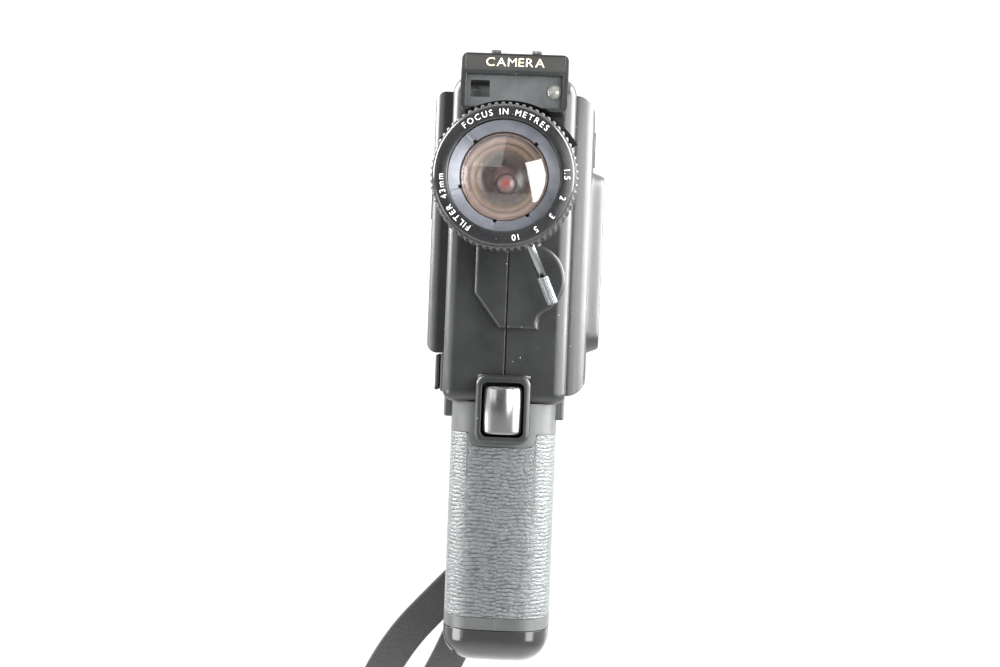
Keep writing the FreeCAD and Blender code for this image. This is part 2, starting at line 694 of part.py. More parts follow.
def make_jack_cover():
    flap = box((-29.6, -27.9), (-45, 13), (11.35, 25.4))
    flap = fillet(flap, 1, lambda middle, direction, bounds: near(middle.x, bounds.XMin) and middle.z > 12)
    node(fuse(flap, rod("Y", (-28.75, 11.35), (-45, 13), 0.85)), "jack_cover")
    sockets = [tube("X", (y, JACK_Z), (-27.3, -16), 3, 1.8) for y in JACKS]
    node(group(*sockets), "jack_sockets")


# ---------------------------------------------------------------- grip
def grip_form(inset, low, high):
    """The grip's barrel section between two heights, drawn in by inset: four bowed sides."""
    middle_y = (D.grip_front + D.grip_rear) / 2
    sides = []
    for x, y, radius, spin in ((0, D.grip_front + 70, 70, 90),
                               (0, D.grip_rear - 70, 70, 0),
                               (D.grip_half - 110, middle_y, 110, 90),
                               (110 - D.grip_half, middle_y, 110, 90)):
        bow = rod("Z", (x, y), (low, high), dim(radius) - inset)
        bow.Placement.Rotation = FreeCAD.Rotation(V(0, 0, 1), spin)
        sides.append(bow)
    return fillet(common(*sides), 13 - inset, along("Z"))


collar_room = rounded((-13.7, 13.7), (-90, -50), (-10.8, 30), 4, "Y")


def make_grip():
    skin = DRIVING["cover_skin"]
    core = grip_form(skin, D.collar_low, D.body_floor)
    band = grip_form(0, D.collar_low, D.cover_low)
    neck = grip_form(0, D.cover_high, D.body_floor)
    rim = common(grip_form(0, D.cover_high - 6, D.cover_high + 1), collar_room)
    room = grip_form(2.9, D.collar_low - 1, D.body_floor - 2)
    mouth = box((-10, 10), (-50, -25), (0, D.body_floor + 1))
    lug_bolt = rod("Y", (0, D.lug_z), (-20, -14), 1.5)
    whole = cut(fuse(core, band, neck, rim), room, mouth, rounded_frame(), lug_bolt, casing_form(0))
    node(common(whole, box((-far, 0), (-90, 0), (-120, 20))), "grip_right_half")
    node(common(whole, box((0, far), (-90, 0), (-120, 20))), "grip_left_half")
    sleeve = cut(grip_form(0, D.cover_low, D.cover_high), grip_form(skin, D.cover_low - 1, D.cover_high + 1),
                 collar_room, rod("Y", (0, D.lug_z), (-20, -10), 1.5))
    node(sleeve, "grip_covering")


STEM = (dim(0), dim(2))


def rounded_frame():
    """The trigger frame's block, which the grip is cut away for as well."""
    return rounded((-D.frame_half, D.frame_half), (D.frame_front, -60), (D.frame_low, D.frame_high), 4, "Y")


def make_trigger():
    block = fillet(rounded_frame(), 1.6, lambda middle, direction, bounds: near(middle.y, bounds.YMin))
    opening = rounded((-8.5, 8.5), (-90, -63), (-6.3, 15.5), 2.4, "Y")
    stem_hole = rod("Y", STEM, (-70, -50), 2.05)
    node(cut(block, opening, stem_hole), "trigger_frame")
    low, high, half = D.trigger_low, D.trigger_high, D.trigger_half
    button = rounded((-half, half), (-81, -70), (low, high), 1.8, "Y")
    crown = rod("Z", (0, -80 + 14), (low - 1, high + 1), 14)
    stem = rod("Y", STEM, (-71, -57), 2)
    button = fillet(common(button, crown), 0.7, lambda middle, direction, bounds: middle.y < bounds.YMin + 3)
    node(fuse(button, stem), "trigger_button")
    node(tube("Y", STEM, (-69.9, -63.1), 3.3, 2.4), "trigger_spring")


def foot_edges(middle, direction, bounds):
    return near(middle.z, bounds.ZMin)


def make_battery():
    low, top = D.grip_foot, D.collar_low - 0.3
    cap = fillet(grip_form(0, low, top), 10, foot_edges)
    cup = cut(cap, fillet(grip_form(2, low + 2, top + 1), 8, foot_edges))
    inner = grip_form(4.3, top - 4, top + 6)
    shelf = cut(grip_form(1.5, top - 3, top - 1), inner)
    spigot = cut(grip_form(3.1, top - 3, top + 5), inner)
    node(fuse(cup, shelf, spigot), "battery_cap")
    cells = []
    for x in (-7.5, 7.5):
        for y in (-56.7, -42, -27.3):
            cell = fuse(rod("Z", (x, y), (-94.5, -45.5), 7), rod("Z", (x, y), (-45.5, -44.4), 2.5))
            cells.append(cell)
    node(group(*cells), "battery_cells")


# ---------------------------------------------------------------- base and strap
def make_base():
    rails = []
    for side in (-1, 1):
        inner, outer = D.rail_inner * side, D.rail_outer * side
        span = (inner, outer) if side > 0 else (outer, inner)
        rails.append(fillet(box(span, (-52, 32), (0, 9)), 1.2, lambda middle, direction, bounds:
                            near(middle.z, bounds.ZMin) or abs(direction.z) > 0.999))
    cut_rails = [cut(rail, casing_form(0), grip_form(0, -5, 8)) for rail in rails]
    node(group(*cut_rails), "base_rails")
    flange = rod("Z", (0, 0), (0, D.body_floor), 9)
    bush = fuse(flange, rod("Z", (0, 0), (D.body_floor, D.body_floor + 3.5), 6))
    node(cut(bush, rod("Z", (0, 0), (-1, D.tripod_deep), D.tripod_tap)), "tripod_bush")


def strap_path(points):
    """Straight runs joined by tangent arcs as large as the runs allow, in the strap's plane."""
    edges, radii = [], []
    start = points[0]
    for number in range(1, len(points) - 1):
        before, corner, after = points[number - 1:number + 2]
        inward, outward = (corner - before), (after - corner)
        shorter = min(inward.Length, outward.Length)
        turn = inward.getAngle(outward)
        reach = 0.45 * shorter
        radii.append(reach / math.tan(turn / 2))
        first = corner - V(inward).normalize() * reach
        last = corner + V(outward).normalize() * reach
        bisector = (V(outward).normalize() - V(inward).normalize()).normalize()
        middle = corner + bisector * (radii[-1] / math.cos(turn / 2) - radii[-1])
        edges.append(Part.LineSegment(start, first).toShape())
        edges.append(Part.Arc(first, middle, last).toShape())
        start = last
    edges.append(Part.LineSegment(start, points[-1]).toShape())
    return edges, radii


# The loop's route in its own plane: y back from the lug, z along the strap.
STRAP_ROUTE = [(-8.9, -3), (-6, -32), (3, -62), (14, -90), (20, -107), (20.5, -121), (13, -132), (0, -136),
               (-12, -130), (-17.5, -117), (-17, -100), (-13.6, -66), (-11.8, -33), (-12.1, -3)]


def make_strap():
    lean = FreeCAD.Rotation(V(0, 1, 0), DRIVING["strap_lean"])
    hang = FreeCAD.Placement(V(0, 0, DRIVING["lug_z"] - 5), lean)
    width, thick = DRIVING["strap_width"], DRIVING["strap_thick"]
    edges, radii = strap_path([V(0, y, z) for y, z in STRAP_ROUTE])
    path = Part.Wire(edges)
    first = edges[0]
    start = first.valueAt(first.FirstParameter)
    across = V(1, 0, 0).cross(first.tangentAt(first.FirstParameter)).normalize()
    corners = [start + V(1, 0, 0) * (a * width / 2) + across * (b * thick / 2)
               for a, b in ((-1, -1), (1, -1), (1, 1), (-1, 1), (-1, -1))]
    band = path.makePipeShell([Part.makePolygon(corners)], True, False)
    strap = doc.addObject("Part::Feature", "webbing")
    strap.Shape = band
    strap.Placement = hang
    node(strap, "wrist_strap")
    print("strap radii", [round(radius, 1) for radius in radii], "length", round(path.Length, 1),
          "volume ratio", round(band.Volume / (width * thick * path.Length), 4))
    bar_y, high, reach = -10.5, 5, width / 2 + 2
    loop = cut(box((-reach - 1, reach + 1), (bar_y - 1, bar_y + 1), (-1, high + 1)),
               box((1 - reach, reach - 1), (bar_y - 2, bar_y + 2), (1, high - 1)))
    loop = fillet(loop, 0.7, every)
    loop.Placement = FreeCAD.Placement(V(0, 0, DRIVING["lug_z"] - 5), lean)
    plate = rod("Y", (0, D.lug_z), (-15, -13), 5)
    boss = rod("Y", (0, D.lug_z), (-13.5, -9.4), 2.6)
    bolt = rod("Y", (0, D.lug_z), (-19, -13), 1.5)
    node(fuse(plate, boss, bolt, loop), "strap_lug")


def build():
    make_casing_right()
    make_casing_left()
    make_side_cover()
    make_case_screws()
    make_finder()
    make_name_plate()
    make_finder_panel()
    make_shoe()
    make_eyepiece()
    make_lens()
    make_mechanism()
    make_shutter()
    make_sound()
    make_belts()
    make_cartridge()
    make_electronics()
    make_door()
    make_jack_cover()
    make_grip()
    make_trigger()
    make_battery()
    make_base()
    make_strap()


def check_and_write():
    doc.recompute()
    bad = [item.Name for item in doc.Objects if {"Invalid", "Error"} & set(item.State)]
    for piece in NODES:
        if piece.Shape.isNull() or not piece.Shape.isValid() or not piece.Shape.Solids:
            bad.append(piece.Label)
    if bad:
        raise RuntimeError(f"these did not build: {bad}")
    os.makedirs("parts", exist_ok=True)
    for piece in NODES:
        piece.Shape.exportStep(f"parts/{piece.Label}.step")
    print(len(NODES), "parts written")


build()
check_and_write()
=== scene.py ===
import json
import math

import bmesh
import bpy
from mathutils import Matrix, Vector, noise
from mathutils.bvhtree import BVHTree


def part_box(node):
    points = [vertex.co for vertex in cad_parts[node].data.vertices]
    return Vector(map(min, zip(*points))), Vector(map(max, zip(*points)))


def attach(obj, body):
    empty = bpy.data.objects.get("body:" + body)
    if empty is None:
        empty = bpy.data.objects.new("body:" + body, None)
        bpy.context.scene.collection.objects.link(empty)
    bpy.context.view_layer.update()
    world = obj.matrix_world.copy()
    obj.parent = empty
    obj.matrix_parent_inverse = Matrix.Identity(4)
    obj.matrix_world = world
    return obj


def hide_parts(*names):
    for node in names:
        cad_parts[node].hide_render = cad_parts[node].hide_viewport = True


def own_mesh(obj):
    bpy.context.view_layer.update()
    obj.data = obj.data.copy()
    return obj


# The looks of a hand-held cine camera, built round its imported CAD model. All lengths are in metres
# in the frame of the part: +Z is up and the lens looks towards -Y.

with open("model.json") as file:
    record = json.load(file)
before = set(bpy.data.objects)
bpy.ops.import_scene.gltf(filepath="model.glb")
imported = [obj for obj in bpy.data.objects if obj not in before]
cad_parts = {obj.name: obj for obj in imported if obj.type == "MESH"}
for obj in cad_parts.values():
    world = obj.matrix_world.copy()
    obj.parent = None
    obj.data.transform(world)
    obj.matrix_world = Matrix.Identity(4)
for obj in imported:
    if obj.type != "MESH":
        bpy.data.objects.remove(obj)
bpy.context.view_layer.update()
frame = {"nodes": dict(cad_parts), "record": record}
MM = 0.001
LENS_X, LENS_Z = -0.002, 0.0944
LENS_CENTRE = (LENS_X, 0, LENS_Z)

# -------------------- camera
EYE = Vector((0.0147, -0.720, 0.035))
YAW, ROLL, FOCAL = 1.5, 2.2, 58.1


def make_camera():
    data = bpy.data.cameras.new("studio_camera")
    data.lens, data.sensor_width = FOCAL, 36.0
    data.clip_start, data.clip_end = 0.01, 20.0
    camera = bpy.data.objects.new("studio_camera", data)
    bpy.context.scene.collection.objects.link(camera)
    camera.matrix_world = (Matrix.Translation(EYE) @ Matrix.Rotation(math.radians(YAW), 4, "Z")
                           @ Matrix.Rotation(math.pi / 2, 4, "X") @ Matrix.Rotation(math.radians(ROLL), 4, "Z"))
    bpy.context.scene.camera = camera


make_camera()


# -------------------- mesh helpers
def link(name, mesh, body="root", material=None, smooth=True):
    """A new object for a mesh in the row frame, riding on a CAD body."""
    piece = bpy.data.objects.new(name, mesh)
    bpy.context.scene.collection.objects.link(piece)
    if material:
        mesh.materials.clear()
        mesh.materials.append(material)
    for polygon in mesh.polygons:
        polygon.use_smooth = smooth
    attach(piece, body)
    return piece


def grid_mesh(name, rows, closed_along=False, closed_round=False):
    """A mesh of quads over rows of points, each row as long as the next."""
    count, width = len(rows), len(rows[0])
    points = [tuple(point) for row in rows for point in row]
    faces = []
    for i in range(count if closed_along else count - 1):
        for j in range(width if closed_round else width - 1):
            near, far = i * width, (i + 1) % count * width
            ahead = (j + 1) % width
            faces.append((near + j, near + ahead, far + ahead, far + j))
    mesh = bpy.data.meshes.new(name)
    mesh.from_pydata(points, [], faces)
    return mesh


def tidy_mesh(mesh, merge=1e-6):
    """Joins doubled points and turns every face outwards."""
    work = bmesh.new()
    work.from_mesh(mesh)
    bmesh.ops.remove_doubles(work, verts=work.verts, dist=merge)
    bmesh.ops.recalc_face_normals(work, faces=work.faces)
    work.to_mesh(mesh)
    work.free()
    return mesh


def close_ends(mesh, width):
    """Closes the first and the last ring of a swept mesh whose rings have width points."""
    last = len(mesh.vertices) - width
    work = bmesh.new()
    work.from_mesh(mesh)
    work.verts.ensure_lookup_table()
    for ring in (range(width - 1, -1, -1), range(last, last + width)):
        work.faces.new([work.verts[k] for k in ring])
    work.to_mesh(mesh)
    work.free()
    return mesh


def fill_ends(mesh):
    """Closes every open rim of a mesh with one face."""
    work = bmesh.new()
    work.from_mesh(mesh)
    bmesh.ops.holes_fill(work, edges=[edge for edge in work.edges if edge.is_boundary], sides=0)
    work.to_mesh(mesh)
    work.free()
    return mesh


def lathe(name, profile, steps, centre=(LENS_X, LENS_Z), shape=None):
    """A closed mesh turned about a line along Y, from (radius, y) points in mm.

    shape(radius, y, angle) may alter each point.
    """
    rows = []
    for i in range(steps):
        angle = math.tau * i / steps
        row = []
        for radius, y in profile:
            if shape:
                radius, y = shape(radius, y, angle)
            row.append((centre[0] + radius * MM * math.sin(angle), y * MM,
                        centre[1] + radius * MM * math.cos(angle)))
        rows.append(row)
    return tidy_mesh(grid_mesh(name, rows, closed_along=True, closed_round=True))


def node_tree(node):
    """A CAD node's mesh as a tree that rays can be cast at."""
    mesh = frame["nodes"][node].data
    return BVHTree.FromPolygons([v.co for v in mesh.vertices], [tuple(p.vertices) for p in mesh.polygons])


def step_up(value, low, high):
    """0 below low, 1 above high and smooth between."""
    t = max(0.0, min(1.0, (value - low) / (high - low)))
    return t * t * (3 - 2 * t)


# -------------------- wrist strap
STRAP_LEAN = math.radians(28)
STRAP_TOP = -0.055
STRAP_ROUTE = [(-8.9, -3), (-6, -32), (3, -62), (14, -90), (20, -107), (20.5, -121), (13, -132), (0, -136),
               (-12, -130), (-17.5, -117), (-17, -100), (-13.6, -66), (-11.8, -33), (-12.1, -3)]
STRAP_WIDTH, STRAP_THICK, STRAP_LENGTH = 0.015, 0.0014, 0.289
STRAP_STEP = 0.25  # mm between the mesh's rows, four to a cross rib
RIB_HEIGHT = 0.07 * MM
FANS = math.radians(-7), math.radians(15.5)  # how far each strand leans past STRAP_LEAN


def strap_point(y, along, fan):
    """A point of the strap's route: along its fall from the lug, leaning out by fan as well."""
    lean = STRAP_LEAN + fan
    return Vector((math.sin(lean) * along, y, math.cos(lean) * along)) * MM + Vector((0, 0, STRAP_TOP))


def smooth_line(name, points, resolution=16):
    """Points along the NURBS spline that has these as its control points."""
    curve = bpy.data.curves.new(name, "CURVE")
    curve.dimensions = "3D"
    spline = curve.splines.new("NURBS")
    spline.points.add(len(points) - 1)
    for control, point in zip(spline.points, points):
        control.co = (*point, 1)
    spline.order_u = 3
    spline.use_endpoint_u = True
    spline.resolution_u = resolution
    carrier = bpy.data.objects.new(name, curve)
    line = [vertex.co.copy() for vertex in bpy.data.meshes.new_from_object(carrier).vertices]
    bpy.data.objects.remove(carrier)
    return line


def resample(line, step):
    """Points a near-equal step apart along a line."""
    lengths = [0.0]
    for before, after in zip(line, line[1:]):
        lengths.append(lengths[-1] + (after - before).length)
    count = round(lengths[-1] / step)
    out, at = [], 0
    for i in range(count + 1):
        goal = lengths[-1] * i / count
        while at < len(line) - 2 and lengths[at + 1] < goal:
            at += 1
        share = (goal - lengths[at]) / max(lengths[at + 1] - lengths[at], 1e-9)
        out.append(line[at].lerp(line[at + 1], min(share, 1.0)))
    return out


def make_strap():
    """Ribbed webbing that runs down from the lug, turns and comes back up in front.

    The strands fan apart below the lug, and come together again towards the turn.
    """
    turn = 5
    fans = [FANS[i > turn] * min(1, abs(i - turn) / 2) * (1 - 0.65 * step_up(-along, 55, 125))
            for i, (_, along) in enumerate(STRAP_ROUTE)]
    route = [strap_point(y, along, fan) for (y, along), fan in zip(STRAP_ROUTE, fans)]
    line = resample(smooth_line("strap_route", route), STRAP_STEP * MM)
    rows = []
    for i, point in enumerate(line):
        ahead = (line[min(i + 1, len(line) - 1)] - line[max(i - 1, 0)]).normalized()
        share = i / (len(line) - 1)
        turned = max(0, min(1, (share - 0.5) * 3 + 0.5))
        fan = STRAP_LEAN + FANS[0] * (1 - turned) + FANS[1] * turned
        across = Vector((math.cos(fan), 0, -math.sin(fan)))
        across = (across - ahead * across.dot(ahead)).normalized()
        outward = ahead.cross(across)
        rib = RIB_HEIGHT * math.sin(math.tau * i / 4)
        row = []
        for aside, lift in strap_section():
            ridge = math.copysign(rib, lift) if abs(lift) > STRAP_THICK / 4 else 0
            row.append(point + across * aside + outward * (lift + ridge))
        rows.append(row)
    mesh = grid_mesh("wrist_strap_webbing", rows, closed_round=True)
    width = len(rows[0])
    close_ends(mesh, width)
    tidy_mesh(mesh, 1e-8)
    chart = mesh.uv_layers.new(name="tape")
    around = [side / MM for side, _ in strap_section()]
    for loop in mesh.loops:
        row, place = divmod(loop.vertex_index, width)
        chart.data[loop.index].uv = (around[place], row * STRAP_STEP)
    piece = link("wrist_strap_webbing", mesh)
    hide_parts("wrist_strap")
    return piece


def strap_section():
    """The webbing's outline as (across, through) pairs, with rounded selvedges."""
    half, thick = STRAP_WIDTH / 2, STRAP_THICK / 2
    flat = half - thick
    upper = [(flat * (1 - 2 * i / 14), thick) for i in range(15)]
    left = [(-flat - thick * math.sin(a), thick * math.cos(a)) for a in (0.8, math.pi / 2, math.pi - 0.8)]
    lower = [(-flat * (1 - 2 * i / 14), -thick) for i in range(15)]
    right = [(flat + thick * math.sin(a), thick * math.cos(a)) for a in (math.pi - 0.8, math.pi / 2, 0.8)]
    return upper + left + lower + right


strap = make_strap()


# -------------------- materials
WAVE_SCALE = 0.314159  # a wave texture's scale for bands one metre apart


class Finish:
    """A material being built from nodes, with the object's own coordinates to draw on."""

    def __init__(self, name, **constants):
        self.material = bpy.data.materials.new(name)
        self.material.use_nodes = True
        self.tree = self.material.node_tree
        self.shader = self.tree.nodes["Principled BSDF"]
        self.here = self.add("TexCoord").outputs["Object"]
        for key, value in constants.items():
            self.shader.inputs[key.replace("_", " ")].default_value = value

    def add(self, kind, **settings):
        node = self.tree.nodes.new("ShaderNode" + kind)
        for key, value in settings.items():
            setattr(node, key, value)
        return node

    def plug(self, node, name, value):
        """Gives an input a socket to read or a constant."""
        socket = node.inputs[name]
        if isinstance(value, bpy.types.NodeSocket):
            self.tree.links.new(value, socket)
        else:
            socket.default_value = value

    def stretched(self, x, y, z):
        node = self.add("Mapping")
        self.plug(node, "Vector", self.here)
        node.inputs["Scale"].default_value = (x, y, z)
        return node.outputs["Vector"]

    def noise(self, size, detail=3, twist=0.0):
        """Cloudy values whose patches are about size metres across."""
        node = self.add("TexNoise")
        self.plug(node, "Vector", self.here)
        self.plug(node, "Scale", 1 / size)
        self.plug(node, "Detail", detail)
        self.plug(node, "Distortion", twist)
        return node.outputs["Fac"]

    def cells(self, size, feature="F1", at=None):
        """A Voronoi texture whose cells are about size metres across."""
        node = self.add("TexVoronoi", feature=feature)
        self.plug(node, "Vector", at or self.here)
        self.plug(node, "Scale", 1 / size)
        return node

    def bands(self, size, direction="Z", at=None):
        """Soft stripes size apart, in the units of the coordinates at."""
        node = self.add("TexWave", bands_direction=direction)
        self.plug(node, "Vector", at or self.here)
        self.plug(node, "Scale", WAVE_SCALE / size)
        return node.outputs["Fac"]

    def from_centre(self, centre):
        """The object's coordinates counted from centre."""
        move = self.add("VectorMath", operation="SUBTRACT")
        self.plug(move, 0, self.here)
        move.inputs[1].default_value = centre
        return move.outputs[0]

    def rings(self, size, centre):
        """Concentric rings about a line through centre along Y."""
        node = self.add("TexWave", wave_type="RINGS", rings_direction="Y")
        self.plug(node, "Vector", self.from_centre(centre))
        self.plug(node, "Scale", WAVE_SCALE / size)
        return node.outputs["Fac"]

    def maths(self, operation, a, b=0.0):
        node = self.add("Math", operation=operation)
        self.plug(node, 0, a)
        self.plug(node, 1, b)
        return node.outputs[0]

    def spread(self, value, low, high, to_low=0.0, to_high=1.0):
        """value from low..high mapped onto to_low..to_high, and held there beyond."""
        node = self.add("MapRange")
        for name, given in zip(("Value", "From Min", "From Max", "To Min", "To Max"),
                               (value, low, high, to_low, to_high)):
            self.plug(node, name, given)
        return node.outputs["Result"]

    def blend(self, share, a, b):
        node = self.add("Mix", data_type="RGBA")
        self.plug(node, "Factor", share)
        for socket, value in ((node.inputs[6], a), (node.inputs[7], b)):
            if isinstance(value, bpy.types.NodeSocket):
                self.tree.links.new(value, socket)
            else:
                socket.default_value = (*value, 1)
        return node.outputs[2]

    def edges(self, radius):
        """1 on a convex or concave edge and 0 on an open face."""
        bevel = self.add("Bevel", samples=4)
        self.plug(bevel, "Radius", radius)
        plain = self.add("NewGeometry")
        dot = self.add("VectorMath", operation="DOT_PRODUCT")
        self.plug(dot, 0, bevel.outputs[0])
        self.plug(dot, 1, plain.outputs["Normal"])
        return self.spread(dot.outputs["Value"], 0.98, 0.8)

    def relief(self, *layers, soften=0.0):
        """Bump from (height value, depth in metres) layers, over edges that soften metres rounds off."""
        normal = None
        if soften:
            bevel = self.add("Bevel", samples=4)
            self.plug(bevel, "Radius", soften)
            normal = bevel.outputs[0]
        for height, depth in layers:
            bump = self.add("Bump")
            self.plug(bump, "Height", height)
            self.plug(bump, "Distance", depth)
            if normal:
                self.plug(bump, "Normal", normal)
            normal = bump.outputs["Normal"]
        self.plug(self.shader, "Normal", normal)

    def colour(self, value):
        self.plug(self.shader, "Base Color", value)

    def roughness(self, value):
        self.plug(self.shader, "Roughness", value)

    def dust(self, size, share, radius):
        """1 in small dots, one in a share of the cells of that size."""
        cells = self.cells(size)
        spots = self.spread(cells.outputs["Distance"], radius / size, 0.6 * radius / size)
        chance = self.add("TexWhiteNoise", noise_dimensions="3D")
        self.plug(chance, "Vector", cells.outputs["Position"])
        picked = self.maths("LESS_THAN", chance.outputs["Value"], share)
        return self.maths("MULTIPLY", spots, picked)


def scaled(tone, factor):
    return tuple(channel * factor for channel in tone)


DUST_GREY = (0.5, 0.5, 0.48)


def moulded(name, tone, rough, grain=0.45 * MM, depth=0.03 * MM, edge_wear_and_highlight=0.0, dust=0.0,
            soften=0.35 * MM, **constants):
    """Moulded plastic: a fine pebble, patches of handling, lighter edges (partly rubbed plastic, partly a
    painted edge highlight) and a little dust.
    """
    f = Finish(name, **constants)
    patches = f.noise(14 * MM, 4)
    pebble = f.noise(grain, 2)
    colour = f.blend(f.spread(patches, 0.3, 0.7), scaled(tone, 0.82), scaled(tone, 1.2))
    # Lighter along the edges: partly rubbed plastic, partly a painted edge highlight.
    if edge_wear_and_highlight:
        rubbed_and_lit_edges = f.maths("MULTIPLY", f.edges(0.5 * MM), f.spread(f.noise(2.2 * MM, 5), 0.42, 0.62, 0.15, 1))
        colour = f.blend(f.maths("MULTIPLY", rubbed_and_lit_edges, edge_wear_and_highlight), colour, scaled(tone, 3.2))
    if dust:
        colour = f.blend(f.maths("MULTIPLY", f.dust(4 * MM, 0.6, 0.2 * MM), dust), colour, DUST_GREY)
    f.colour(colour)
    f.roughness(f.spread(patches, 0.25, 0.75, rough - 0.06, rough + 0.07))
    f.relief((patches, 0.05 * MM), (pebble, depth), soften=soften)
    return f.material


def metal(name, tone, rough):
    """Plain or plated metal with uneven tone and polish."""
    f = Finish(name, Metallic=1.0)
    patches = f.noise(6 * MM, 4)
    f.colour(f.blend(f.spread(patches, 0.3, 0.7), scaled(tone, 0.8), tone))
    f.roughness(f.spread(f.noise(1.5 * MM, 5), 0.3, 0.7, rough * 0.75, rough * 1.3))
    f.relief((f.noise(0.3 * MM, 2), 0.01 * MM))
    return f.material


BLACK = (0.012, 0.0125, 0.013)


def leather():
    """Grained leatherette with painted shade: darker down in its creases and along its turned-in edges; the
    mesh says how deep each point lies.
    """
    f = Finish("leatherette", Sheen_Weight=0.06, Sheen_Roughness=0.4, Coat_Weight=0.12, Coat_Roughness=0.3)
    creases = f.add("Attribute", attribute_name="grain").outputs["Fac"]
    fine = f.cells(0.8 * MM, "DISTANCE_TO_EDGE", at=f.stretched(0.7, 0.7, 1.0)).outputs["Distance"]
    patches = f.noise(9 * MM, 4)
    tone = f.blend(f.spread(patches, 0.3, 0.7), (0.07, 0.077, 0.078), (0.088, 0.096, 0.097))
    # Painted shade: a little darker in the hollows between the fine grain's cells.
    tone = f.blend(f.spread(fine, 0.0, 0.15, 0.35, 0.0), tone, (0.06, 0.066, 0.067))
    # Painted shade: near black down in the creases and along the turned-in edges, read from the mesh's grain
    # attribute.
    f.colour(f.blend(f.spread(creases, 0.2, 0.7), tone, (0.008, 0.009, 0.01)))
    f.roughness(f.spread(f.noise(1.2 * MM, 3), 0.3, 0.7, 0.32, 0.5))
    f.relief((f.spread(fine, 0.0, 0.25), 0.07 * MM), (f.noise(0.25 * MM, 2), 0.03 * MM))
    return f.material


def webbing():
    """Woven tape: cross ribs with a fine twill and painted shade between the ribs, from its own across and
    along coordinates.
    """
    f = Finish("webbing", Sheen_Weight=0.25, Sheen_Roughness=0.5)
    tape = f.add("UVMap").outputs["UV"]
    picks = f.bands(1.0, "Y", at=tape)
    ends = f.bands(0.62, "X", at=tape)
    weave = f.maths("MULTIPLY", picks, f.spread(ends, 0, 1, 0.55, 1))
    fuzz = f.noise(0.35 * MM, 3)
    # Painted shade: darker down between the ribs where the weave sinks, lighter on the ribs.
    tone = f.blend(weave, (0.008, 0.008, 0.009), (0.032, 0.031, 0.031))
    f.colour(f.blend(f.spread(fuzz, 0.5, 0.75, 0, 0.5), tone, (0.06, 0.058, 0.055)))
    f.roughness(0.8)
    f.relief((weave, 0.12 * MM), (fuzz, 0.03 * MM))
    return f.material


def turned_metal(name, tone, rough, ring=0.25 * MM, rubbed_edge_highlight=0.0, dust=0.0, **constants):
    """Anodised metal with fine turning marks about the lens axis, lighter along every edge: partly rubbed
    metal, partly a painted edge highlight.
    """
    f = Finish(name, **constants)
    patches = f.noise(5 * MM, 4)
    colour = f.blend(f.spread(patches, 0.3, 0.7), scaled(tone, 0.75), scaled(tone, 1.15))
    # Lighter along every edge, evenly: partly rubbed metal, partly a painted edge highlight.
    if rubbed_edge_highlight:
        colour = f.blend(f.maths("MULTIPLY", f.edges(0.35 * MM), rubbed_edge_highlight), colour, (0.45, 0.45, 0.46))
    if dust:
        colour = f.blend(f.maths("MULTIPLY", f.dust(2.2 * MM, 0.7, 0.13 * MM), dust), colour, (0.6, 0.6, 0.6))
    f.colour(colour)
    f.roughness(f.spread(f.noise(1.5 * MM, 4), 0.3, 0.7, rough * 0.8, rough * 1.25))
    f.relief((f.rings(ring, LENS_CENTRE), 0.006 * MM), (f.noise(0.3 * MM, 2), 0.006 * MM))
    return f.material


def painted(name, tone, rough, **constants):
    """Filled or printed lettering: a slightly uneven coat."""
    f = Finish(name, **constants)
    f.colour(f.blend(f.spread(f.noise(0.8 * MM, 4), 0.3, 0.7), scaled(tone, 0.86), tone))
    f.roughness(f.spread(f.noise(0.4 * MM, 2), 0.3, 0.7, rough * 0.8, rough * 1.2))
    f.relief((f.noise(0.3 * MM, 2), 0.01 * MM))
    return f.material


def ringed(name, centre, reach, stops, **constants):
    """Coated glasses and turned cells, coloured ring by ring out from a line along Y through centre; the ring
    colours carry painted reflections of the coatings.
    """
    f = Finish(name, **constants)
    flat = f.add("VectorMath", operation="MULTIPLY")
    f.plug(flat, 0, f.from_centre(centre))
    flat.inputs[1].default_value = (1, 0, 1)
    radius = f.add("VectorMath", operation="LENGTH")
    f.plug(radius, 0, flat.outputs[0])
    ramp = f.add("ValToRGB")
    f.plug(ramp, "Fac", f.spread(radius.outputs["Value"], 0, reach * MM))
    band = ramp.color_ramp
    while len(band.elements) < len(stops):
        band.elements.new(0.5)
    for element, (at, tone) in zip(band.elements, stops):
        element.position = at / reach
        element.color = (*tone, 1)
    smear = f.noise(5 * MM, 3, twist=1.0)
    f.colour(f.blend(f.spread(smear, 0.35, 0.7, 0, 0.3), ramp.outputs["Color"], (0.16, 0.10, 0.09)))
    f.roughness(f.spread(smear, 0.3, 0.7, 0.2, 0.35))
    f.relief((f.rings(0.45 * MM, centre), 0.02 * MM))
    return f.material


# What shows through the front glass, ring by ring: (radius in mm, colour). The amber and lilac rings are
# painted reflections of the coated glasses inside, set as plain colour.
CELL_TONES_AND_REFLECTIONS = ((0, (0.10, 0.05, 0.04)), (4.6, (0.13, 0.07, 0.055)), (5.2, (0.05, 0.03, 0.025)),
              (8.5, (0.075, 0.048, 0.035)), (10.6, (0.13, 0.085, 0.055)), (11.0, (0.40, 0.27, 0.18)),
              (12.6, (0.30, 0.18, 0.11)), (13.1, (0.05, 0.03, 0.026)), (13.5, (0.50, 0.34, 0.25)),
              (15.2, (0.34, 0.21, 0.16)), (15.7, (0.10, 0.07, 0.08)), (16.2, (0.45, 0.38, 0.45)))
# The red middle element, ring by ring: a painted reflection of its coating, set as plain colour.
CORE_REFLECTION_RINGS = ((0, (0.50, 0.05, 0.03)), (0.9, (0.45, 0.08, 0.05)), (1.8, (0.30, 0.12, 0.10)),
              (2.8, (0.26, 0.15, 0.15)), (3.6, (0.15, 0.10, 0.11)))
CORE_X, CORE_Z = LENS_X + 0.6 * MM, LENS_Z - 1.9 * MM


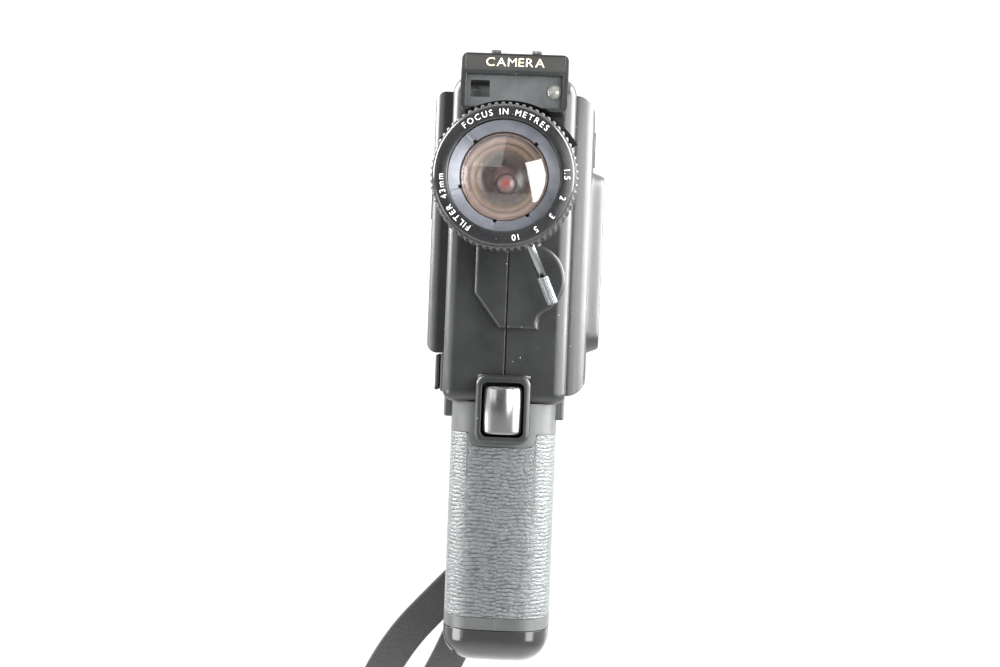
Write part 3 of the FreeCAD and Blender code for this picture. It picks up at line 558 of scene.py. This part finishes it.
def coated(name, tone, rough=0.03, **constants):
    """Coated optical glass, with a trace of dust and smears."""
    f = Finish(name, **constants)
    smear = f.noise(6 * MM, 4, twist=1.0)
    f.colour(f.blend(f.spread(smear, 0.35, 0.7), tone, scaled(tone, 0.9)))
    f.roughness(f.maths("ADD", f.spread(smear, 0.55, 0.8, rough, rough + 0.05),
                        f.maths("MULTIPLY", f.dust(2.5 * MM, 0.5, 0.1 * MM), 0.5)))
    f.relief((f.rings(0.9 * MM, LENS_CENTRE), 0.0001 * MM))
    return f.material


def panel_finish():
    """The finder's front panel: fine level ribs across satin plastic."""
    f = Finish("finder_panel")
    ribs = f.bands(0.42 * MM, "Z")
    patches = f.noise(7 * MM, 4)
    tone = f.blend(f.spread(patches, 0.3, 0.7), (0.05, 0.054, 0.056), (0.085, 0.09, 0.092))
    f.colour(f.blend(f.maths("MULTIPLY", f.dust(3 * MM, 0.5, 0.12 * MM), 0.7), tone, DUST_GREY))
    f.roughness(f.spread(patches, 0.3, 0.7, 0.35, 0.45))
    f.relief((ribs, 0.06 * MM), (f.noise(0.3 * MM, 2), 0.01 * MM))
    return f.material


FINISHES = {
    "casing_plastic": moulded("casing_plastic", BLACK, 0.31, edge_wear_and_highlight=0.7, dust=1.0, soften=0.6 * MM,
                              Specular_IOR_Level=0.38),
    "trim_plastic": moulded("trim_plastic", (0.016, 0.016, 0.017), 0.36, depth=0.02 * MM, edge_wear_and_highlight=0.4, dust=0.6),
    "name_band": moulded("name_band", (0.02, 0.0195, 0.018), 0.4, depth=0.01 * MM, dust=0.6,
                         Specular_IOR_Level=0.36),
    "finder_panel": panel_finish(),
    "gloss_plastic": moulded("gloss_plastic", (0.008, 0.008, 0.008), 0.2, depth=0.002 * MM, dust=0.4,
                             Coat_Weight=0.2, Coat_Roughness=0.08),
    "trigger_plastic": moulded("trigger_plastic", (0.02, 0.02, 0.02), 0.3, depth=0.002 * MM, dust=0.4,
                               Coat_Weight=1.0, Coat_Roughness=0.17, Coat_IOR=1.9),
    "grip_plastic": moulded("grip_plastic", (0.05, 0.052, 0.052), 0.38, edge_wear_and_highlight=0.3, dust=0.5, depth=0.006 * MM,
                            Specular_IOR_Level=0.36),
    "leatherette": leather(),
    "rail_plastic": moulded("rail_plastic", (0.035, 0.036, 0.036), 0.6),
    "rubber": moulded("rubber", (0.014, 0.014, 0.015), 0.7, grain=0.2 * MM),
    "lens_glass": coated("lens_glass", (0.96, 0.97, 0.98), 0.01, Transmission_Weight=1.0, IOR=1.52),
    "lens_depths": ringed("lens_depths", LENS_CENTRE, 17, CELL_TONES_AND_REFLECTIONS, Coat_Weight=0.3, Coat_Roughness=0.2),
    "red_reflection_paint": ringed("red_reflection_paint", (CORE_X, 0, CORE_Z), 4, CORE_REFLECTION_RINGS, Coat_Weight=0.5, Coat_Roughness=0.1),
    # Dead black; also laid as painted shade in the casing's seam and under the finder's arch.
    "flock": moulded("flock", (0.002, 0.002, 0.002), 0.9, grain=0.15 * MM, Specular_IOR_Level=0.1),
    "meter_dome": coated("meter_dome", (0.26, 0.255, 0.235), 0.12, Transmission_Weight=0.35, Coat_Weight=0.5),
    "lens_metal": turned_metal("lens_metal", (0.014, 0.014, 0.015), 0.32, rubbed_edge_highlight=0.2),
    "ribbed_metal": turned_metal("ribbed_metal", (0.02, 0.02, 0.021), 0.36, rubbed_edge_highlight=0.35, dust=0.5),
    "ring_black": turned_metal("ring_black", (0.008, 0.008, 0.009), 0.2, ring=0.12 * MM, rubbed_edge_highlight=0.7, dust=0.7),
    "retainer_grey": turned_metal("retainer_grey", (0.1, 0.104, 0.122), 0.34, ring=0.3 * MM, Metallic=0.3),
    "lever_metal": metal("lever_metal", (0.14, 0.143, 0.146), 0.28),
    "polished_steel": metal("polished_steel", (0.15, 0.153, 0.156), 0.22),
    "knurled_steel": metal("knurled_steel", (0.13, 0.135, 0.14), 0.3),
    "plated_steel": metal("plated_steel", (0.3, 0.3, 0.29), 0.3),
    "spring_steel": metal("spring_steel", (0.3, 0.3, 0.3), 0.25),
    "brass": metal("brass", (0.7, 0.5, 0.25), 0.3),
    "chassis": metal("chassis", (0.45, 0.46, 0.47), 0.4),
    "shutter_steel": metal("shutter_steel", (0.1, 0.1, 0.1), 0.35),
    "gear_nylon": moulded("gear_nylon", (0.65, 0.62, 0.55), 0.4),
    "motor_can": metal("motor_can", (0.5, 0.5, 0.52), 0.3),
    "cartridge_plastic": moulded("cartridge_plastic", (0.03, 0.03, 0.032), 0.4),
    "board": moulded("board", (0.03, 0.12, 0.05), 0.4),
    "cell_jacket": moulded("cell_jacket", (0.35, 0.2, 0.05), 0.3),
    "webbing": webbing(),
    "paint_white": painted("paint_white", (0.85, 0.85, 0.84), 0.35),
    "paint_gold": painted("paint_gold", (0.95, 0.83, 0.58), 0.25, Metallic=0.4),
}


OWN_FINISH = {"finder_front_panel": "finder_panel", "name_plate": "name_band"}


def frame_slot(node):
    """The material slot that the record gives a CAD node."""
    return next(part["material_slot"] for part in frame["record"]["subparts"] if part["node"] == node)


def clothe():
    """Gives every carried-over CAD node the finish of its slot, or one of its own."""
    for name, piece in frame["nodes"].items():
        piece.data.materials.clear()
        piece.data.materials.append(FINISHES[OWN_FINISH.get(name) or frame_slot(name)])


clothe()
strap.data.materials.append(FINISHES["webbing"])

# -------------------- lens and eyepiece
def from_rib(angle, count):
    """0 on the middle of a rib and 1 between two, for count ribs round a ring."""
    return abs((angle / math.tau * count) % 1 - 0.5) * 2


def make_focus_ring():
    """The focus ring: narrow ribs along it, which run out at its ends."""
    count, foot, height = 66, 27.25, 0.85

    def ribs(radius, y, angle):
        if radius < 27.6:
            return radius, y
        ends = step_up(y, -112, -111.2) * step_up(-y, 95.6, 96.6)
        return foot + height * (1 - step_up(from_rib(angle, count), 0.34, 0.62)) * ends, y

    outside = [(28.1, -111.7 + 15.9 * i / 22) for i in range(23)]
    profile = [(24, -106), (24, -112), (26.5, -112), (27.2, -111.95), *outside, (27.1, -95.45), (26.6, -95.4),
               (19.15, -95.4), (19.15, -106)]
    piece = link("focus_grip_ring", lathe("focus_grip_ring", profile, count * 10, shape=ribs), "focus",
                 FINISHES["ribbed_metal"])
    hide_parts("focus_ring")


def make_zoom_ring():
    """The zoom ring behind the focus ring: broad shallow grips between two plain collars."""
    count, depth = 40, 0.55

    def grips(radius, y, angle):
        if radius < 25.9:
            return radius, y
        ends = step_up(y, -93.6, -93.0) * step_up(-y, 86.0, 86.8)
        return radius - depth * step_up(from_rib(angle, count), 0.5, 0.75) * ends, y

    outside = [(26, -94.2 + 9 * i / 18) for i in range(19)]
    profile = [(19.15, -84.5), (19.15, -95), (25.2, -95), *outside, (25.2, -84.5)]
    piece = link("zoom_grip_ring", lathe("zoom_grip_ring", profile, count * 12, shape=grips), "zoom",
                 FINISHES["ribbed_metal"])
    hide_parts("zoom_ring")


EYE_CENTRE = (-13.6 * MM, 131.7 * MM)


def make_dioptre_ring():
    """The eyepiece's correction ring: fine straight knurling between two bevels."""
    count, depth = 44, 0.4

    def knurl(radius, y, angle):
        if radius < 10.55:
            return radius, y
        ends = step_up(y, 51.5, 51.8) * step_up(-y, -56.5, -56.2)
        return radius - depth * step_up(from_rib(angle, count), 0.3, 0.8) * ends, y

    outside = [(10.6, 51.4 + 5.2 * i / 13) for i in range(14)]
    profile = [(9.1, 57), (9.1, 51), (10.2, 51), *outside, (10.2, 57)]
    piece = link("dioptre_ring_knurled", lathe("dioptre_ring_knurled", profile, count * 8, EYE_CENTRE, knurl),
                 "diopter", FINISHES["ribbed_metal"])
    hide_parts("diopter_ring")


def make_eyecup():
    """Rubber eyecup: three folds round its skirt and a rolled rim."""
    folds, depth, skirt = 3, 0.22, []
    for i in range(25):
        share = i / 24
        fold = depth * math.cos(math.tau * share * folds) if share < 0.9 else depth
        skirt.append((11 + 2.95 * share + fold - depth, 60 + 9.6 * share))
    rim = [(14.0, 69.9), (13.95, 70.25), (13.6, 70.5), (13.2, 70.55), (12.95, 70.3)]
    profile = [(9.05, 62), (9.05, 57.5), (10.8, 57.5), (11, 57.7), *skirt, *rim, (9.8, 62.4)]
    piece = link("eyecup_rubber", lathe("eyecup_rubber", profile, 96, EYE_CENTRE), "root", FINISHES["rubber"])
    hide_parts("eyecup")


def make_name_ring():
    """The lettered front ring, with the filter thread's ridges in its bore."""
    thread, pitch = [], 0.58
    for turn in range(6):
        thread += [(21.12, -115.5 + pitch * turn), (21.5, -115.21 + pitch * turn)]
    profile = [(22.3, -106), (22.3, -112), (21.15, -112.02), *thread[::-1], (21.45, -115.95), (21.7, -116),
               (25.75, -116), (25.95, -115.95), (26.45, -115.45), (26.5, -115.3), (26.5, -112.02),
               (24.02, -112.02), (24.02, -106)]
    piece = link("name_ring_turned", lathe("name_ring_turned", profile, 240), "focus", FINISHES["ring_black"])
    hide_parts("name_ring")


def make_retainer():
    """The grey ring that holds the front glass, with five spanner notches in its inner edge."""
    notches = [math.radians(angle) for angle in (43, 147, 190, 255, 318)]

    def notched(radius, y, angle):
        if radius > 18:
            return radius, y
        near = min(abs((angle - notch + math.pi) % math.tau - math.pi) for notch in notches)
        return radius + 0.9 * (1 - step_up(near, 0.035, 0.045)), y

    profile = [(16.85, -108.1), (16.85, -110.45), (17.0, -110.62), (21.0, -111.66), (21.08, -111.7),
               (22.25, -111.7), (22.25, -108.1)]
    piece = link("front_retainer_ring", lathe("front_retainer_ring", profile, 720, shape=notched), "focus",
                 FINISHES["retainer_grey"])
    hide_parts("front_retainer")


def dome_profile(half, apex, curve, thick):
    """A bent glass disc's (radius, y) outline: a crown of radius curve with a parallel back."""
    count = 14
    radii = [half * i / count for i in range(count + 1)]
    crown = [(radius, apex + curve - math.sqrt(curve ** 2 - radius ** 2)) for radius in radii]
    return crown + [(radius, y + thick) for radius, y in crown[::-1]]


def make_glass():
    """The front glass, the stepped cells seen through it and the coated element at their middle."""
    front = link("front_glass", lathe("front_glass", dome_profile(16.7, -110, 70, 0.9), 144), "focus",
                 FINISHES["lens_glass"])
    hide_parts("front_element")
    depths = [(0, -101.2), (4.8, -100.8), (5.4, -100.1), (8.5, -100.7), (10.6, -100.4), (11.0, -101.2),
              (12.6, -102.6), (13.1, -102.4), (13.5, -103.8), (15.2, -104.8), (15.7, -104.6), (16.1, -105.6),
              (16.65, -105.8), (16.65, -97), (0, -97)]
    inner = link("lens_depths", lathe("lens_depths", depths, 144), "focus", FINISHES["lens_depths"])
    # The middle element's red is a painted reflection of its coating.
    dome = [(0, -102.3), (1.5, -102.2), (2.8, -101.9), (3.8, -101.3), (4.1, -100.9), (0, -100.9)]
    core = lathe("rear_core", dome, 72, (CORE_X, CORE_Z))
    link("rear_core", core, "focus", FINISHES["red_reflection_paint"])


def make_arch_shade():
    """A black sheet of painted shade on the casing between the lens and the finder housing's arch, where the
    deep gap falls dark.
    """
    half_angle, steps, rows = 58, 60, []
    for i in range(steps + 1):
        angle = math.radians(-half_angle + 2 * half_angle * i / steps)
        rows.append([(LENS_X + radius * MM * math.sin(angle), y * MM, LENS_Z + radius * MM * math.cos(angle))
                     for radius, y in ((27.4, -74.3), (32.7, -74.3), (32.7, -70.4), (27.4, -70.4))])
    mesh = grid_mesh("arch_shade", rows, closed_round=True)
    mesh = close_ends(mesh, 4)
    # Painted shade: a dead black sheet in the gap under the arch.
    link("arch_shade", tidy_mesh(mesh), "root", FINISHES["flock"])


# -------------------- lettering
def glyph(letter, size, thick):
    """One letter as points and faces, with its width: x across, y up, z out of the surface."""
    curve = bpy.data.curves.new("glyph", "FONT")
    curve.body, curve.size, curve.extrude, curve.resolution_u = letter, size, thick / 2, 5
    carrier = bpy.data.objects.new("glyph", curve)
    mesh = bpy.data.meshes.new_from_object(carrier)
    points = [vertex.co.copy() for vertex in mesh.vertices]
    faces = [tuple(polygon.vertices) for polygon in mesh.polygons]
    bpy.data.objects.remove(carrier)
    low, high = min(p.x for p in points), max(p.x for p in points)
    for point in points:
        point.x -= (low + high) / 2
    return points, faces, high - low


def letters(name, text, size, thick, gap, placed):
    """Text as one mesh: placed(distance along the line) gives each letter's 4 x 4 matrix."""
    glyphs = [None if letter == " " else glyph(letter, size, thick) for letter in text]
    widths = [size * 0.32 if g is None else g[2] for g in glyphs]
    total = sum(widths) + gap * (len(widths) - 1)
    points, faces, at = [], [], -total / 2
    for shape, width in zip(glyphs, widths):
        if shape:
            matrix = placed(at + width / 2)
            start = len(points)
            points += [matrix @ point for point in shape[0]]
            faces += [tuple(start + k for k in face) for face in shape[1]]
        at += width + gap
    mesh = bpy.data.meshes.new(name)
    mesh.from_pydata(points, [], faces)
    return mesh


def round_the_ring(middle, radius, y):
    """Letter places on a ring about the lens axis, clockwise from the top, tops outwards."""
    def placed(along):
        angle = math.radians(middle) + along / radius
        return (Matrix.Translation((LENS_X, y, LENS_Z)) @ Matrix.Rotation(angle, 4, "Y")
                @ Matrix.Translation((0, 0, radius)) @ Matrix.Rotation(math.pi / 2, 4, "X"))
    return placed


def make_ring_letters():
    """Generic lettering on the front ring: a distance scale and the filter's size."""
    size, thick, gap, radius, face = 3.2 * MM, 0.05 * MM, 0.78 * MM, 22.7 * MM, -116.01 * MM
    for name, text, middle in (("top", "FOCUS IN METRES", 0), ("right", "1.5   2   3   5   10", 127),
                               ("left", "FILTER 43mm", 240)):
        mesh = letters("ring_text_" + name, text, size, thick, gap, round_the_ring(middle, radius, face))
        link("ring_text_" + name, mesh, "focus", FINISHES["paint_white"], smooth=False)


def make_name_plate_letters():
    """A generic word on the finder's slanted band."""
    foot, head = Vector((0, -83.67, 139.3)) * MM, Vector((0, -81.4, 145.3)) * MM
    up = (head - foot).normalized()
    out = Vector((1, 0, 0)).cross(up)
    base = foot.lerp(head, 0.5) - up * 1.95 * MM + out * 0.03 * MM

    def placed(along):
        place = base + Vector((along, 0, 0))
        return Matrix(((1, up.x, out.x, place.x), (0, up.y, out.y, place.y), (0, up.z, out.z, place.z),
                       (0, 0, 0, 1)))

    mesh = letters("plate_text", "CAMERA", 5.5 * MM, 0.1 * MM, 0.75 * MM, placed)
    link("plate_text", mesh, "root", FINISHES["paint_gold"], smooth=False)


def make_dial_marks():
    """Three index lines and two letters printed on the casing beside the mode dial."""
    centre, face = Vector((0, 16, 120)), 33.53

    def mark(angle, radius, turned):
        place = Vector((face, centre.y + radius * math.sin(angle), centre.z + radius * math.cos(angle))) * MM
        upright = Matrix(((0, 0, 1, 0), (1, 0, 0, 0), (0, 1, 0, 0), (0, 0, 0, 1)))
        return (Matrix.Translation(place) @ upright @ Matrix.Rotation(-turned, 4, "Z")
                @ Matrix.Translation((0, -0.8 * MM, 0)))

    quarter = math.pi / 2
    spots = iter([mark(angle, 11.2, angle) for angle in (quarter, 1.5 * quarter, 2 * quarter)]
                 + [mark(quarter, 14.2, 0), mark(1.5 * quarter, 14.2, 0)])
    mesh = letters("dial_marks", "IIIRL", 2.4 * MM, 0.04 * MM, 0, lambda along: next(spots))
    link("dial_marks", mesh, "root", FINISHES["paint_white"], smooth=False)


# -------------------- zoom lever
def make_zoom_lever():
    """A polished rod out of the zoom ring with a ribbed sleeve on its end."""
    rod = [(0, 22), (1.7, 22), (1.7, 27.2), (1.62, 27.3), (1.62, 40.2), (0, 40.2)]
    sleeve = [(1.2, 40.1), (1.85, 40.12), (2.05, 40.35)]
    sleeve += [(2.1, 40.6 + 10.3 * i / 80) for i in range(81)]
    sleeve += [(2.05, 51.15), (1.8, 51.45), (1.2, 51.5), (0, 51.5)]

    def knurl(radius, along, angle):
        """Fine ribs along the sleeve, nicked by shallow rings."""
        if radius < 2.08:
            return radius, along
        rib = step_up(abs(math.sin(angle * 9)), 0.25, 0.75)
        nick = 1 - 0.3 * (1 - step_up(abs(math.sin(along * 5.2)), 0.0, 0.4))
        return 1.92 + 0.18 * rib * nick, along

    lean = math.radians(23.4)
    down = (Matrix.Translation((LENS_X, -90.5 * MM, LENS_Z)) @ Matrix.Rotation(-lean, 4, "Y")
            @ Matrix.Rotation(-math.pi / 2, 4, "X"))
    for name, profile, steps, shape, finish in (("zoom_lever_rod", rod, 48, None, "polished_steel"),
                                                ("zoom_lever_sleeve", sleeve, 208, knurl, "knurled_steel")):
        mesh = lathe(name, profile, steps, (0, 0), shape)
        mesh.transform(down)
        piece = link(name, mesh, "zoom", FINISHES[finish])
        if name == "zoom_lever_rod":
            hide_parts("zoom_lever")


# -------------------- grip covering
GRIP_MIDDLE = Vector((0, -0.042))
COVER_LOW, COVER_HIGH, COVER_SKIN = -80.2 * MM, -5.4 * MM, 0.9 * MM
GRAIN_STEP, GRAIN_DEPTH, FOLD_PITCH = 0.48 * MM, 0.34 * MM, 1.55 * MM
PEBBLE_WIDTH, PEBBLE_HEIGHT = 2.6 * MM, 1.5 * MM


def grip_outline(step):
    """Points a near-equal step apart round the covering's outside, with outward directions."""
    tree = node_tree("grip_covering")
    points, rays = [], 720
    for i in range(rays):
        angle = math.tau * i / rays
        way = Vector((math.sin(angle), -math.cos(angle), 0))
        start = Vector((*GRIP_MIDDLE, -0.045)) + way * 0.1
        points.append(tree.ray_cast(start, -way)[0])
    line = resample(points + [points[0]], step)[:-1]
    normals = []
    for i in range(len(line)):
        ahead = line[(i + 1) % len(line)] - line[i - 1]
        normals.append(Vector((ahead.y, -ahead.x, 0)).normalized())
    return line, normals


def cover_top(x, y):
    """How high the covering reaches: lower in the notch under the trigger, whose corners are round."""
    half, low, corner = 13.7 * MM, -10.8 * MM, 4 * MM
    if y > -0.05 or abs(x) > half:
        return COVER_HIGH
    over = max(0, abs(x) - (half - corner))
    return low + corner - math.sqrt(corner ** 2 - over ** 2)


def grain(along, up):
    """Leather grain's depth from 0 to 1: wavy folds across the grip, broken up by pebbles."""
    sway = noise.noise(Vector((along * 110, up * 60, 3.1))) * 0.7
    shiver = noise.noise(Vector((along * 430, up * 300, 7.7))) * 0.24
    fold = abs((up / FOLD_PITCH + sway + shiver) % 1 - 0.5) * 2
    strength = 0.8 + 0.5 * noise.noise(Vector((along * 260, up * 240, 5.2)))
    crease = step_up(fold, 0.6, 1.0) * max(0.0, min(1.0, strength))
    near = noise.voronoi(Vector((along / PEBBLE_WIDTH + shiver, up / PEBBLE_HEIGHT + sway, 0)))[0]
    return max(crease, 0.55 * (1 - step_up(near[1] - near[0], 0.0, 0.18)))


def make_grip_covering():
    """Grained leatherette round the grip: its creases are real, and both edges turn in to the core. Each
    point's depth is stored for the leatherette's painted shade.
    """
    line, normals = grip_outline(GRAIN_STEP)
    levels, edge = 250, 0.35 * MM
    round_length = sum((line[i] - line[i - 1]).length for i in range(len(line)))
    columns, depths = [], []
    for i, (point, normal) in enumerate(zip(line, normals)):
        along = round_length * i / len(line)
        top = cover_top(point.x, point.y)
        column = [Vector((point.x, point.y, COVER_LOW)) - normal * COVER_SKIN * 0.9]
        depths.append(1.0)
        for level in range(levels + 1):
            z = COVER_LOW + (top - COVER_LOW) * level / levels
            rim = min(1, (z - COVER_LOW) / edge, (top - z) / edge)
            depth = grain(along, z)
            sink = GRAIN_DEPTH * depth * rim + 0.3 * MM * (1 - rim) ** 2 + 0.02 * MM
            column.append(Vector((point.x, point.y, z)) - normal * sink)
            # The depth also sets the painted shade: darkest in the creases and at both turned-in edges.
            depths.append(max(depth, 1 - rim))
        column.append(Vector((point.x, point.y, top)) - normal * COVER_SKIN * 0.9)
        depths.append(1.0)
        columns.append(column)
    mesh = grid_mesh("grip_leatherette", columns, closed_along=True)
    # The grain attribute carries the strength of the painted shade to the leatherette finish.
    mesh.attributes.new("grain", "FLOAT", "POINT").data.foreach_set("value", depths)
    piece = link("grip_leatherette", tidy_mesh(mesh, 1e-8), "root", FINISHES["leatherette"])
    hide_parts("grip_covering")


# -------------------- casing
def rounded_outline(half_x, half_z, corner, count=10, between=9):
    """Points round a rectangle with round corners, about its middle, spaced along its straight sides too."""
    points = []
    corners = ((1, 1), (-1, 1), (-1, -1), (1, -1))
    for turn, (sx, sz) in enumerate(corners):
        centre = Vector((sx * (half_x - corner), sz * (half_z - corner)))
        for k in range(count + 1):
            angle = math.pi / 2 * (turn + k / count)
            points.append(centre + corner * Vector((math.cos(angle), math.sin(angle))))
        ahead_x, ahead_z = corners[(turn + 1) % 4]
        angle = math.pi / 2 * (turn + 1)
        target = Vector((ahead_x * (half_x - corner), ahead_z * (half_z - corner)))
        target += corner * Vector((math.cos(angle), math.sin(angle)))
        last = points[-1]
        points += [last.lerp(target, k / (between + 1)) for k in range(1, between + 1)]
    return points


def make_seam_shadow():
    """The dark line of the casing's front joint, from the trigger frame up to the lens."""
    low, high, step = 18.5, 67.5, 0.25
    tree = node_tree("casing_left")
    rows = []
    for i in range(round((high - low) / step) + 1):
        z = (low + step * i) * MM
        front = tree.ray_cast(Vector((0.9 * MM, -0.2, z)), Vector((0, 1, 0)))[0].y - 0.03 * MM
        back = front + 0.3 * MM
        rows.append([(-0.05 * MM, front, z), (0.5 * MM, front, z), (0.5 * MM, back, z), (-0.05 * MM, back, z)])
    mesh = close_ends(grid_mesh("seam_shadow", rows, closed_round=True), 4)
    link("seam_shadow", tidy_mesh(mesh), "root", FINISHES["flock"])


def make_frame_corners():
    """A lip level with the casing's face that closes the corners above the trigger frame."""
    front, back, low, high = -69.97 * MM, -69.5 * MM, 15.8 * MM, 19.2 * MM
    rows = [[(x * MM, front, low), (x * MM, front, high), (x * MM, back, high), (x * MM, back, low)]
            for x in (-11.6, -4, 4, 11.6)]
    mesh = close_ends(grid_mesh("frame_corner_lip", rows, closed_round=True), 4)
    link("frame_corner_lip", tidy_mesh(mesh), "root", FINISHES["casing_plastic"])


def make_side_cover():
    """The side cover's shell: it rises out of the casing's side in one smooth slope all round."""
    low, high = (Vector(corner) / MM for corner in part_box("side_cover"))
    middle = (low + high) / 2
    half = (high - low) / 2
    root_x, slope_y, slope_z, corner = 32.2, 6.0, 3.6, 11.0
    rows = []
    for t in (0.0, *[k / 16 for k in range(17)], 1.8, 3.0, 4.5):
        over = min(t, 1.0)
        outline = rounded_outline(half.y - slope_y * t, half.z - slope_z * t, corner - 5.5 * over)
        x = root_x + (high.x - root_x) * step_up(over, 0.0, 1.0)
        x = x if rows else root_x - 0.4
        rows.append([Vector((x, middle.y + y, middle.z + z)) * MM for y, z in outline])
    mesh = tidy_mesh(fill_ends(grid_mesh("side_cover_shell", rows, closed_round=True)))
    piece = link("side_cover_shell", mesh, "root", FINISHES["casing_plastic"])
    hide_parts("side_cover")


# -------------------- trigger
def make_trigger_button():
    """The pressed face: crowned across and a little along, rolled over at its rim."""
    half_x, half_z, middle_z, roll, front, rear = 7.8, 9.7, 4.35, 1.0, -80, -71.5
    crown, slow_crown = 12, 110
    rows = []
    for inset in (0, 0, 0.06, 0.2, 0.42, 0.7, 1.0, 1.5, 2.2, 3.2, 4.4, 5.6, 6.8, 7.6):
        shape = rounded_outline(half_x - inset, half_z - inset, max(1.9 - inset, 0.15))
        over = 1 - min(inset / roll, 1)
        row = []
        for x, z in shape:
            face = front + crown - math.sqrt(crown ** 2 - x * x) + z * z / slow_crown
            face += roll * (1 - math.sqrt(max(0, 1 - over * over)))
            row.append((x * MM, (face if rows else rear) * MM, (middle_z + z) * MM))
        rows.append(row)
    mesh = grid_mesh("trigger_face", rows, closed_round=True)
    piece = link("trigger_face", tidy_mesh(fill_ends(mesh)), "trigger", FINISHES["trigger_plastic"])
    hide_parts("trigger_button")
    stem = lathe("trigger_stem", [(0, -72), (2, -72), (2, -57.3), (1.7, -57), (0, -57)], 32, (0, 2 * MM))
    link("trigger_stem", stem, "trigger", FINISHES["plated_steel"])


def make_trigger_spring():
    """The trigger's return spring, a coil that runs back to its rear seat behind the trigger."""
    turns, around, front, rear, coil, wire = 6, 8, -69.9, -63.1, 2.86, 0.36
    steps = turns * 24
    rows = []
    for i in range(steps + 1):
        share = i / steps
        angle = math.tau * turns * share
        out = Vector((math.sin(angle), 0, math.cos(angle)))
        middle = out * coil + Vector((0, front + wire + (rear - front - 2 * wire) * share, 2))
        rows.append([(middle + wire * (out * math.cos(math.tau * k / around)
                                       + Vector((0, math.sin(math.tau * k / around), 0)))) * MM
                     for k in range(around)])
    mesh = close_ends(grid_mesh("trigger_coil", rows, closed_round=True), around)
    piece = link("trigger_coil", tidy_mesh(mesh), "root", FINISHES["spring_steel"])
    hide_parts("trigger_spring")
    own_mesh(piece)


for make in (make_focus_ring, make_zoom_ring, make_dioptre_ring, make_eyecup, make_name_ring,
             make_retainer, make_glass, make_arch_shade, make_ring_letters, make_name_plate_letters,
             make_zoom_lever, make_grip_covering, make_seam_shadow, make_frame_corners, make_side_cover,
             make_trigger_button, make_trigger_spring, make_dial_marks):
    make()

# -------------------- studio
FLOOR_Z = -1.0
FRONT_AIR, BACK_AIR, TOP_AIR = 0.2, 1.25, 2.4  # the air's strength from the camera's side, behind and above


def make_floor():
    """A wide pale floor, well below the hanging strap."""
    rows = [[(x * 1.0, y * 1.0, FLOOR_Z) for x in range(-12, 13, 2)] for y in range(-12, 13, 2)]
    mesh = grid_mesh("studio_floor", rows)
    f = Finish("studio_paper", Roughness=0.9)
    f.colour(f.blend(f.spread(f.noise(0.5), 0.3, 0.7), (0.55, 0.55, 0.547), (0.6, 0.6, 0.597)))
    floor = bpy.data.objects.new("studio_floor", mesh)
    bpy.context.scene.collection.objects.link(floor)
    mesh.materials.append(f.material)


def make_air():
    """Soft light from all round: white behind the object, brightest overhead, dim from the camera's side."""
    world = bpy.data.worlds.new("studio_air")
    bpy.context.scene.world = world
    world.use_nodes = True
    tree = world.node_tree
    split = tree.nodes.new("ShaderNodeSeparateXYZ")
    tree.links.new(tree.nodes.new("ShaderNodeTexCoord").outputs["Generated"], split.inputs[0])
    shares = []
    for axis, given in (("Y", (-0.3, 0.85, FRONT_AIR, BACK_AIR)), ("Z", (0.35, 0.95, 0, TOP_AIR))):
        spread = tree.nodes.new("ShaderNodeMapRange")
        spread.interpolation_type = "SMOOTHSTEP"
        tree.links.new(split.outputs[axis], spread.inputs["Value"])
        for name, value in zip(("From Min", "From Max", "To Min", "To Max"), given):
            spread.inputs[name].default_value = value
        shares.append(spread.outputs["Result"])
    total = tree.nodes.new("ShaderNodeMath")
    for socket, value in zip(total.inputs, shares):
        tree.links.new(value, socket)
    back = tree.nodes["Background"]
    back.inputs["Color"].default_value = (0.985, 1.0, 0.99, 1)
    tree.links.new(total.outputs[0], back.inputs["Strength"])


def add_light(name, place, aim, size, power, roll=0.0):
    """A soft rectangular lamp of size metres and power watts at place, turned towards aim."""
    data = bpy.data.lights.new(name, "AREA")
    data.shape, data.size, data.size_y = "RECTANGLE", size[0], size[1]
    data.energy = power
    lamp = bpy.data.objects.new(name, data)
    bpy.context.scene.collection.objects.link(lamp)
    lamp.location = place
    aimed = (Vector(aim) - Vector(place)).to_track_quat("-Z", "Y").to_matrix()
    lamp.rotation_euler = (aimed @ Matrix.Rotation(roll, 3, "Z")).to_euler()
    lamp.visible_camera = False


def make_studio():
    """The floor, the air and the lamps, and the plain display transform."""
    make_floor()
    make_air()
    add_light("side_right", (1.0, 0.06, 0.50), (0, -0.05, 0.15), (1.0, 1.1), 80)
    add_light("side_left", (-1.0, 0.12, 0.62), (0, -0.05, 0.3), (0.8, 1.0), 72)
    add_light("screen_right", (0.80, -0.60, 0.06), (0, -0.05, 0.0), (0.5, 0.8), 13)
    add_light("glare_right", (0.60, -0.80, 0.19), (0, -0.05, 0.07), (0.42, 0.24), 2.8)
    add_light("glare_left", (-0.60, -0.80, 0.19), (0, -0.05, 0.07), (0.42, 0.2), 1.3)
    add_light("low_left", (-0.85, -0.30, -0.26), (0, -0.04, -0.08), (0.5, 0.4), 6)
    add_light("screen_left", (-0.80, -0.60, 0.02), (0, -0.05, 0.0), (0.34, 0.7), 1.9)
    add_light("card_right", (0.40, -0.97, 0.17), (LENS_X, -0.11, LENS_Z), (0.32, 0.46), 5.6, roll=0.22)
    add_light("window_left", (-0.29, -0.98, 0.49), (LENS_X, -0.11, LENS_Z), (0.52, 0.4), 0.95)
    bpy.context.scene.view_settings.view_transform = "Standard"


make_studio()
